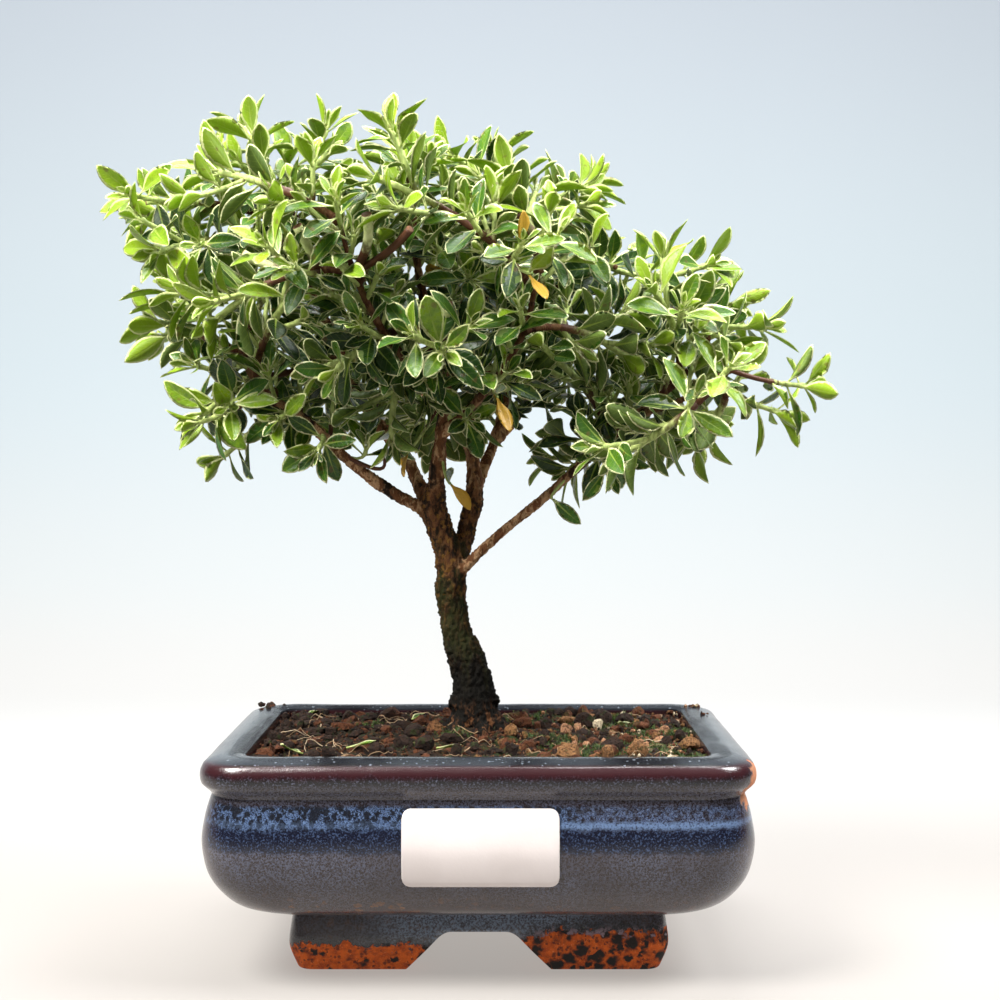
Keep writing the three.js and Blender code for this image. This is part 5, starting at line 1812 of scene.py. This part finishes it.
def mossPart():
    # tufts of short curved blades, denser in the middle of each patch
    random = np.random.default_rng(31)
    roots = []
    while len(roots) < soilForm["mossTufts"]:
        x = random.uniform(-1, 1) * (soilForm["halfX"] - 0.8)
        y = random.uniform(-1, 1) * (soilForm["halfY"] - 0.8)
        if random.random() < mossShare(x, y) and math.hypot(x - soilForm["foot"][0], y) > 7:
            roots.append((x, y))
    roots = np.repeat(np.array(roots), 7, axis=0)
    roots = roots + random.normal(0, 0.35, roots.shape)
    limits = np.array(soilForm["mossLimits"])
    roots = np.clip(roots, -limits, limits)
    count = len(roots)
    foot = np.column_stack([roots, groundUnder(roots) - 0.15])
    turn = random.uniform(0, 2 * math.pi, count)
    tall = random.uniform(0.7, 1.9, count)[:, None]
    lean = random.uniform(0.2, 1.0, count)[:, None]
    out = np.column_stack([np.cos(turn), np.sin(turn), np.zeros(count)])
    side = np.column_stack([-np.sin(turn), np.cos(turn), np.zeros(count)]) * 0.13
    middle = foot + tall * (0.5 * upward + 0.35 * lean * out)
    tip = foot + tall * (0.85 * upward + 0.9 * lean * out)
    points = np.stack([foot - side, foot + side, middle - 0.8 * side, middle + 0.8 * side, tip], axis=1)
    rows = np.arange(count)[:, None] * 5
    faces = [rows + np.array([[0, 1, 3, 2]]), rows + np.array([[2, 3, 4]])]
    values = {"rise": np.tile([0.0, 0.0, 0.5, 0.5, 1.0], count), "luck": np.repeat(random.random(count), 5)}
    return {"points": points.reshape(-1, 3), "faces": faces, "values": values}


def fibresPart():
    random = np.random.default_rng(44)
    startX, startY = soilForm["fibreStarts"]
    limitX, limitY = soilForm["fibreLimits"]
    parts = []
    for _ in range(soilForm["fibres"]):
        x = random.uniform(-1, 1) * startX
        y = random.uniform(-1, 1) * startY
        heading = random.uniform(0, 2 * math.pi)
        bend = random.uniform(-0.5, 0.5)
        steps = random.integers(6, 14)
        path = []
        arch = random.uniform(0.3, 2.2)
        for k in range(steps):
            share = k / (steps - 1)
            ground = float(soilHeight(x, y)) + soilForm["roughness"] * lumps(x, y)
            path.append((x, y, ground + 0.25 + arch * math.sin(math.pi * share) ** 2))
            x = min(limitX, max(-limitX, x + 1.3 * math.cos(heading)))
            y = min(limitY, max(-limitY, y + 1.3 * math.sin(heading)))
            heading += bend * random.uniform(0.2, 1)
        radius = random.uniform(0.08, 0.2)
        parts.append(tubePart(path, np.linspace(radius, radius * 0.5, steps), 4, luck=random.random()))
    return joinParts(parts)


def earthMaterial():
    material, graph = newMaterial("earth")
    looks = soilLooks
    place = graph.group(placeTree)["Place"]
    right = graph.axes(place)["X"]
    clods = graph.noise(place, 0.5, 5.0, 0.68)
    grit = graph.noise(place, 2.4, 4.0, 0.7)
    base = graph.blend(graph.ease(clods, 0.42, 0.66), looks["earth"], looks["earthBrown"])
    crumbs = speckMask(graph, place, size=1.5, share=0.4, soft=0.2)
    base = graph.blend(graph.times(crumbs, 0.55), base, looks["stoneRed"])
    pale = speckMask(graph, place, size=0.9, share=0.14, soft=0.2)
    base = graph.blend(graph.times(pale, 0.6), base, looks["stoneTan"])
    greens = graph.ease(graph.noise(place, 0.11, 3.0, 0.6), 0.46, 0.62)
    greens = graph.times(greens, graph.ease(right, -30, 30, 0.25, 1.0))
    base = graph.blend(graph.times(greens, 0.75), base, looks["moss"])
    rough = graph.ease(grit, 0.3, 0.7, 0.7, 0.95)
    normal = graph.bump(graph.plus(graph.times(clods, 2.0), grit), 0.0008)
    endMaterial(graph, graph.surface(base=base, rough=rough, normal=normal, specular=0.25))
    return material


def stoneMaterial(name, darkShare):
    material, graph = newMaterial(name)
    looks = soilLooks
    place = graph.group(placeTree)["Place"]
    right = graph.axes(place)["X"]
    luck = graph.plus(graph.attribute("luck"), graph.ease(right, -50, 55, -0.36, 0.06))
    grain = graph.noise(place, 1.7, 4.0, 0.7)
    base = graph.blend(graph.ease(luck, darkShare, darkShare + 0.04), looks["stoneDark"], looks["stoneRed"])
    base = graph.blend(graph.ease(luck, 0.72, 0.76), base, looks["stoneTan"])
    base = graph.blend(graph.ease(luck, 0.88, 0.91), base, looks["stonePink"])
    base = graph.blend(graph.ease(luck, 0.985, 0.99), base, looks["stonePale"])
    base = graph.blend(graph.ease(grain, 0.55, 0.35, 0.0, 0.65), base, looks["earthBrown"])
    holes = speckMask(graph, place, size=0.7, share=0.5, soft=0.3)
    base = graph.blend(graph.times(holes, 0.5), base, looks["earth"])
    film = graph.ease(graph.noise(place, 0.35, 2.0, 0.6), 0.56, 0.68)
    base = graph.blend(graph.times(film, 0.4), base, looks["moss"])
    normal = graph.bump(graph.minus(grain, graph.times(holes, 0.6)), 0.0006)
    endMaterial(graph, graph.surface(base=base, rough=0.88, normal=normal, specular=0.25))
    return material


def mossMaterial():
    material, graph = newMaterial("moss")
    looks = soilLooks
    rise, luck = graph.attribute("rise"), graph.attribute("luck")
    bright = graph.ease(graph.plus(rise, graph.times(luck, 0.7)), 0.5, 1.6)
    base = graph.blend(bright, looks["moss"], looks["mossTip"])
    surface = graph.surface(base=base, rough=0.6)
    through = graph.add("ShaderNodeBsdfTranslucent", {"Color": base}).outputs[0]
    endMaterial(graph, graph.add("ShaderNodeMixShader", {0: 0.3, 1: surface, 2: through}).outputs[0])
    return material


def fibreMaterial():
    material, graph = newMaterial("root fibre")
    pale = graph.ease(graph.attribute("luck"), 0.55, 0.9)
    base = graph.blend(pale, soilLooks["fibre"], soilLooks["fibrePale"])
    endMaterial(graph, graph.surface(base=base, rough=0.7))
    return material


def looseLeaf(x, y, ground, heading, size, age):
    along = unit(np.array([math.cos(heading), math.sin(heading), 0.06]))
    face = unit(upward - along * along[2] + 0.25 * np.array([math.sin(3 * heading), 0.3, 0]))
    face = unit(face - along * (face @ along))
    length = leafGrowth["length"] * size
    return {"at": np.array([x, y, ground]), "along": along, "face": face, "sideways": np.cross(along, face),
            "length": length, "width": length * 0.4, "curl": -0.05, "age": age}


def buildSoil():
    earth = earthMaterial()
    finishPiece(newObject("earth", makeMesh("earth", soilPart()), earth), "soil", "soil")
    places, sizes = scatter(soilForm["stones"], *soilForm["stoneSize"], 21, 0.62)
    stones = stonesPart(places, sizes, 2, 22)
    gravel = newObject("gravel", makeMesh("gravel", stones), stoneMaterial("gravel", 0.34))
    finishPiece(gravel, "soil")
    places, sizes = scatter(soilForm["crumbs"], *soilForm["crumbSize"], 23, 0.3, 5.5)
    random = np.random.default_rng(29)
    limits = np.array(soilForm["rimLimits"])
    for middle, spread, count in soilForm["spilt"]:
        spilt = np.column_stack([at + random.normal(0, spread, count) for at in middle])
        spilt = np.clip(spilt, -limits, limits)
        spilt = np.column_stack([spilt, np.full(count, soilForm["rimTop"])])
        places = np.vstack([places, spilt])
        sizes = np.concatenate([sizes, random.uniform(0.35, 1.1, count)])
    crumbs = stonesPart(places, sizes, 1, 24, 5)
    crumbs = newObject("crumbs", makeMesh("crumbs", crumbs), stoneMaterial("crumbs", 0.26))
    finishPiece(crumbs, "soil")
    finishPiece(newObject("moss", makeMesh("moss", mossPart()), mossMaterial()), "soil")
    finishPiece(newObject("root_fibres", makeMesh("root fibres", fibresPart()), fibreMaterial()), "soil")
    leaves = []
    for x, y, heading, size, age in soilForm["fallen"]:
        ground = float(soilHeight(x, y)) + 1.7
        leaves.append(looseLeaf(x, y, ground, heading, size, age))
    mesh = makeMesh("fallen leaves", leafMeshPart(leaves, 71))
    finishPiece(newObject("fallen_leaves", mesh, leafUpper, leafUnder), "foliage")
    print("soil built")


buildSoil()


# the blank label, and the mesh over the drain holes

labelForm = {"width": 43, "height": 21.4, "centre": (0.8, 40.5), "corner": 2.6, "thick": 0.45, "gap": 0.05}

labelLooks = {"paper": (0.71, 0.645, 0.625), "paperShade": (0.665, 0.60, 0.58)}

drainMeshLooks = {"plastic": (0.012, 0.016, 0.017), "dust": (0.09, 0.06, 0.04)}


def bellyInset(z):
    rows = smoothPath(np.array(potForm["outside"], float), 1.25)
    return float(np.interp(z, rows[:60, 1], rows[:60, 0]))


def labelPart():
    # a sheet with round corners, bent to the belly
    halfX, halfZ, corner = labelForm["width"] / 2, labelForm["height"] / 2, labelForm["corner"]
    centreX, centreZ = labelForm["centre"]
    columns = np.concatenate([np.linspace(-halfX, -halfX + corner, 9)[:-1],
                              np.linspace(-halfX + corner, halfX - corner, 12),
                              np.linspace(halfX - corner, halfX, 9)[1:]])
    rings = []
    for x in columns:
        into = max(0.0, abs(x) - (halfX - corner))
        tall = halfZ - corner + math.sqrt(max(0.0, corner ** 2 - into ** 2))
        heights = np.linspace(-tall, tall, 15)
        outer = []
        for z in heights:
            belly = -potForm["depth"] / 2 + bellyInset(centreZ + z)
            outer.append((centreX + x, belly - labelForm["gap"] - labelForm["thick"], centreZ + z))
        inner = [(px, py + labelForm["thick"], pz) for px, py, pz in outer[::-1]]
        rings.append(np.array(outer + inner))
    return skinPart(rings[::-1])


def paperMaterial():
    material, graph = newMaterial("label paper")
    place = graph.group(placeTree)["Place"]
    pulp = graph.noise(place, 1.3, 4.0, 0.6)
    soft = graph.noise(place, 0.08, 2.0, 0.5)
    base = graph.blend(graph.ease(soft, 0.35, 0.7), labelLooks["paper"], labelLooks["paperShade"])
    rough = graph.ease(pulp, 0.3, 0.7, 0.42, 0.52)
    endMaterial(graph, graph.surface(base=base, rough=rough, normal=graph.bump(pulp, 0.00003)))
    return material


def meshPlasticMaterial():
    material, graph = newMaterial("drain mesh plastic")
    place = graph.group(placeTree)["Place"]
    dust = graph.noise(place, 0.9, 4.0, 0.65)
    looks = drainMeshLooks
    base = graph.blend(graph.ease(dust, 0.45, 0.75), looks["plastic"], looks["dust"])
    rough = graph.ease(dust, 0.3, 0.7, 0.45, 0.75)
    endMaterial(graph, graph.surface(base=base, rough=rough, normal=graph.bump(dust, 0.0001)))
    return material


label = newObject("blank_label", makeMesh("blank label", labelPart()), paperMaterial())
finishPiece(label, "label", "label")
plastic = meshPlasticMaterial()
for name in ("drain_mesh_left", "drain_mesh_right"):
    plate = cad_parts[name]
    plate.data.materials.clear()
    plate.data.materials.append(plastic)
print("label and drain meshes set")


# floor, backdrop and light

stageSetup = {
    "floor": (0.73, 0.68, 0.635),
    "floorFar": (0.87, 0.86, 0.84),
    "floorSeen": (1.30, 1.25, 1.20),  # far from the pot, for the camera alone
    "wallLow": (0.835, 0.865, 0.865),
    "wallMiddle": (0.74, 0.84, 0.89),
    "wallHigh": (0.66, 0.73, 0.81),
    "glow": 0.58,  # how bright the backdrop is by itself
    "albedo": 0.24,
    "skyAbove": (0.95, 0.98, 1.0),
    "skyAround": (0.13, 0.14, 0.16),
    "skySeen": (1.22, 1.33, 1.40),  # what the camera sees beyond the floor
    "skyStrength": 0.6,
    "floorHalf": 1500,
    "bendStart": 500,  # where the floor turns up into the backdrop
    "bendRadius": 260,
    # a dark card behind the tree that only the gloss sees: left, right, low, high, back
    "card": (-200, 195, 183, 1300, 740),
    "cardColour": (0.012, 0.012, 0.014),
    "nearLight": (0.1, 0.1, 0.1),
    # place, size, aimed at, strength, colour
    "lights": [
        ((-330, -270, 600), 340, (-10, 0, 190), 11.0, (1.0, 0.985, 0.95)),
        ((380, -120, 560), 300, (20, 0, 180), 6.0, (0.97, 0.985, 1.0)),
        ((0, 120, 760), 420, (0, 0, 190), 8.0, (0.98, 0.99, 1.0)),
    ],
}


def buildStage():
    wide, start, turn = stageSetup["floorHalf"], stageSetup["bendStart"], stageSetup["bendRadius"]
    profile = [(-wide, 0), (start, 0)]
    for k in range(1, 13):
        angle = math.pi / 2 * k / 12
        profile.append((start + turn * math.sin(angle), turn * (1 - math.cos(angle))))
    profile.append((start + turn, wide))
    line = np.array(profile)
    rows = [np.column_stack([np.full(len(line), x), line[:, 0], line[:, 1]]) for x in (-wide, wide)]
    count = len(line)
    low = np.arange(count - 1)
    faces = np.stack([low, low + count, low + count + 1, low + 1], axis=-1)
    mesh = makeMesh("backdrop", {"points": np.vstack(rows), "faces": [faces], "values": {}})
    material, graph = newMaterial("plain backdrop")
    found = graph.group(placeTree)
    height = found["Height"]
    back = graph.axes(found["Place"])["Y"]
    colour = graph.blend(graph.ease(back, 20, 420), stageSetup["floor"], stageSetup["floorFar"])
    colour = graph.blend(graph.ease(height, 0, 70), colour, stageSetup["wallLow"])
    colour = graph.blend(graph.ease(height, 20, 230), colour, stageSetup["wallMiddle"])
    colour = graph.blend(graph.ease(height, 200, 560), colour, stageSetup["wallHigh"])
    cloth = graph.blend(1.0, colour, (stageSetup["albedo"],) * 3, "MULTIPLY")
    seen = graph.add("ShaderNodeLightPath").outputs["Is Camera Ray"]
    away = graph.lengthOf(found["Place"])
    far = graph.times(graph.ease(away, 240, 800), seen)
    light = graph.blend(far, stageSetup["nearLight"], stageSetup["floorSeen"])
    light = graph.blend(graph.ease(back, -260, 20), light, colour)
    glow = {"Emission Color": light, "Emission Strength": stageSetup["glow"]}
    shade = graph.add("ShaderNodeBsdfPrincipled", {"Base Color": cloth, "Roughness": 0.8, **glow})
    endMaterial(graph, shade.outputs[0])
    backdrop = newObject("backdrop", mesh, material)


def buildCard():
    left, right, low, high, back = stageSetup["card"]
    corners = [(left, back, low), (right, back, low), (right, back, high), (left, back, high)]
    part = {"points": np.array(corners, float), "faces": [np.array([[0, 1, 2, 3]])], "values": {}}
    material, graph = newMaterial("dark card")
    endMaterial(graph, graph.surface(base=stageSetup["cardColour"], rough=0.9))
    card = newObject("dark_card", makeMesh("dark card", part), material)
    card.visible_camera = card.visible_diffuse = card.visible_shadow = card.visible_transmission = False


def buildLights():
    for number, (place, size, target, strength, colour) in enumerate(stageSetup["lights"], 1):
        lamp = bpy.data.lights.new(f"soft light {number}", "AREA")
        lamp.shape = "DISK"
        lamp.size = size / 1000
        lamp.energy = strength
        lamp.color = colour
        made = newObject(lamp.name, lamp)
        made.location = toScene(place)
        aim = Vector(toScene(target)) - Vector(toScene(place))
        made.rotation_euler = aim.to_track_quat("-Z", "Y").to_euler()
    # the room: light from above, dim round the sides
    world = bpy.data.worlds.new("soft sky")
    bpy.context.scene.world = world
    world.use_nodes = True
    graph = Graph(world.node_tree)
    rise = graph.axes(graph.add("ShaderNodeTexCoord").outputs["Generated"])["Z"]
    colour = graph.blend(graph.ease(rise, 0.3, 0.95), stageSetup["skyAround"], stageSetup["skyAbove"])
    seen = graph.add("ShaderNodeLightPath").outputs["Is Camera Ray"]
    colour = graph.blend(seen, colour, stageSetup["skySeen"])
    background = world.node_tree.nodes["Background"]
    graph.plug(background.inputs["Color"], colour)
    background.inputs["Strength"].default_value = stageSetup["skyStrength"]
    bpy.context.scene.view_settings.view_transform = "Standard"


buildStage()
buildCard()
buildLights()
print("stage and lights set")
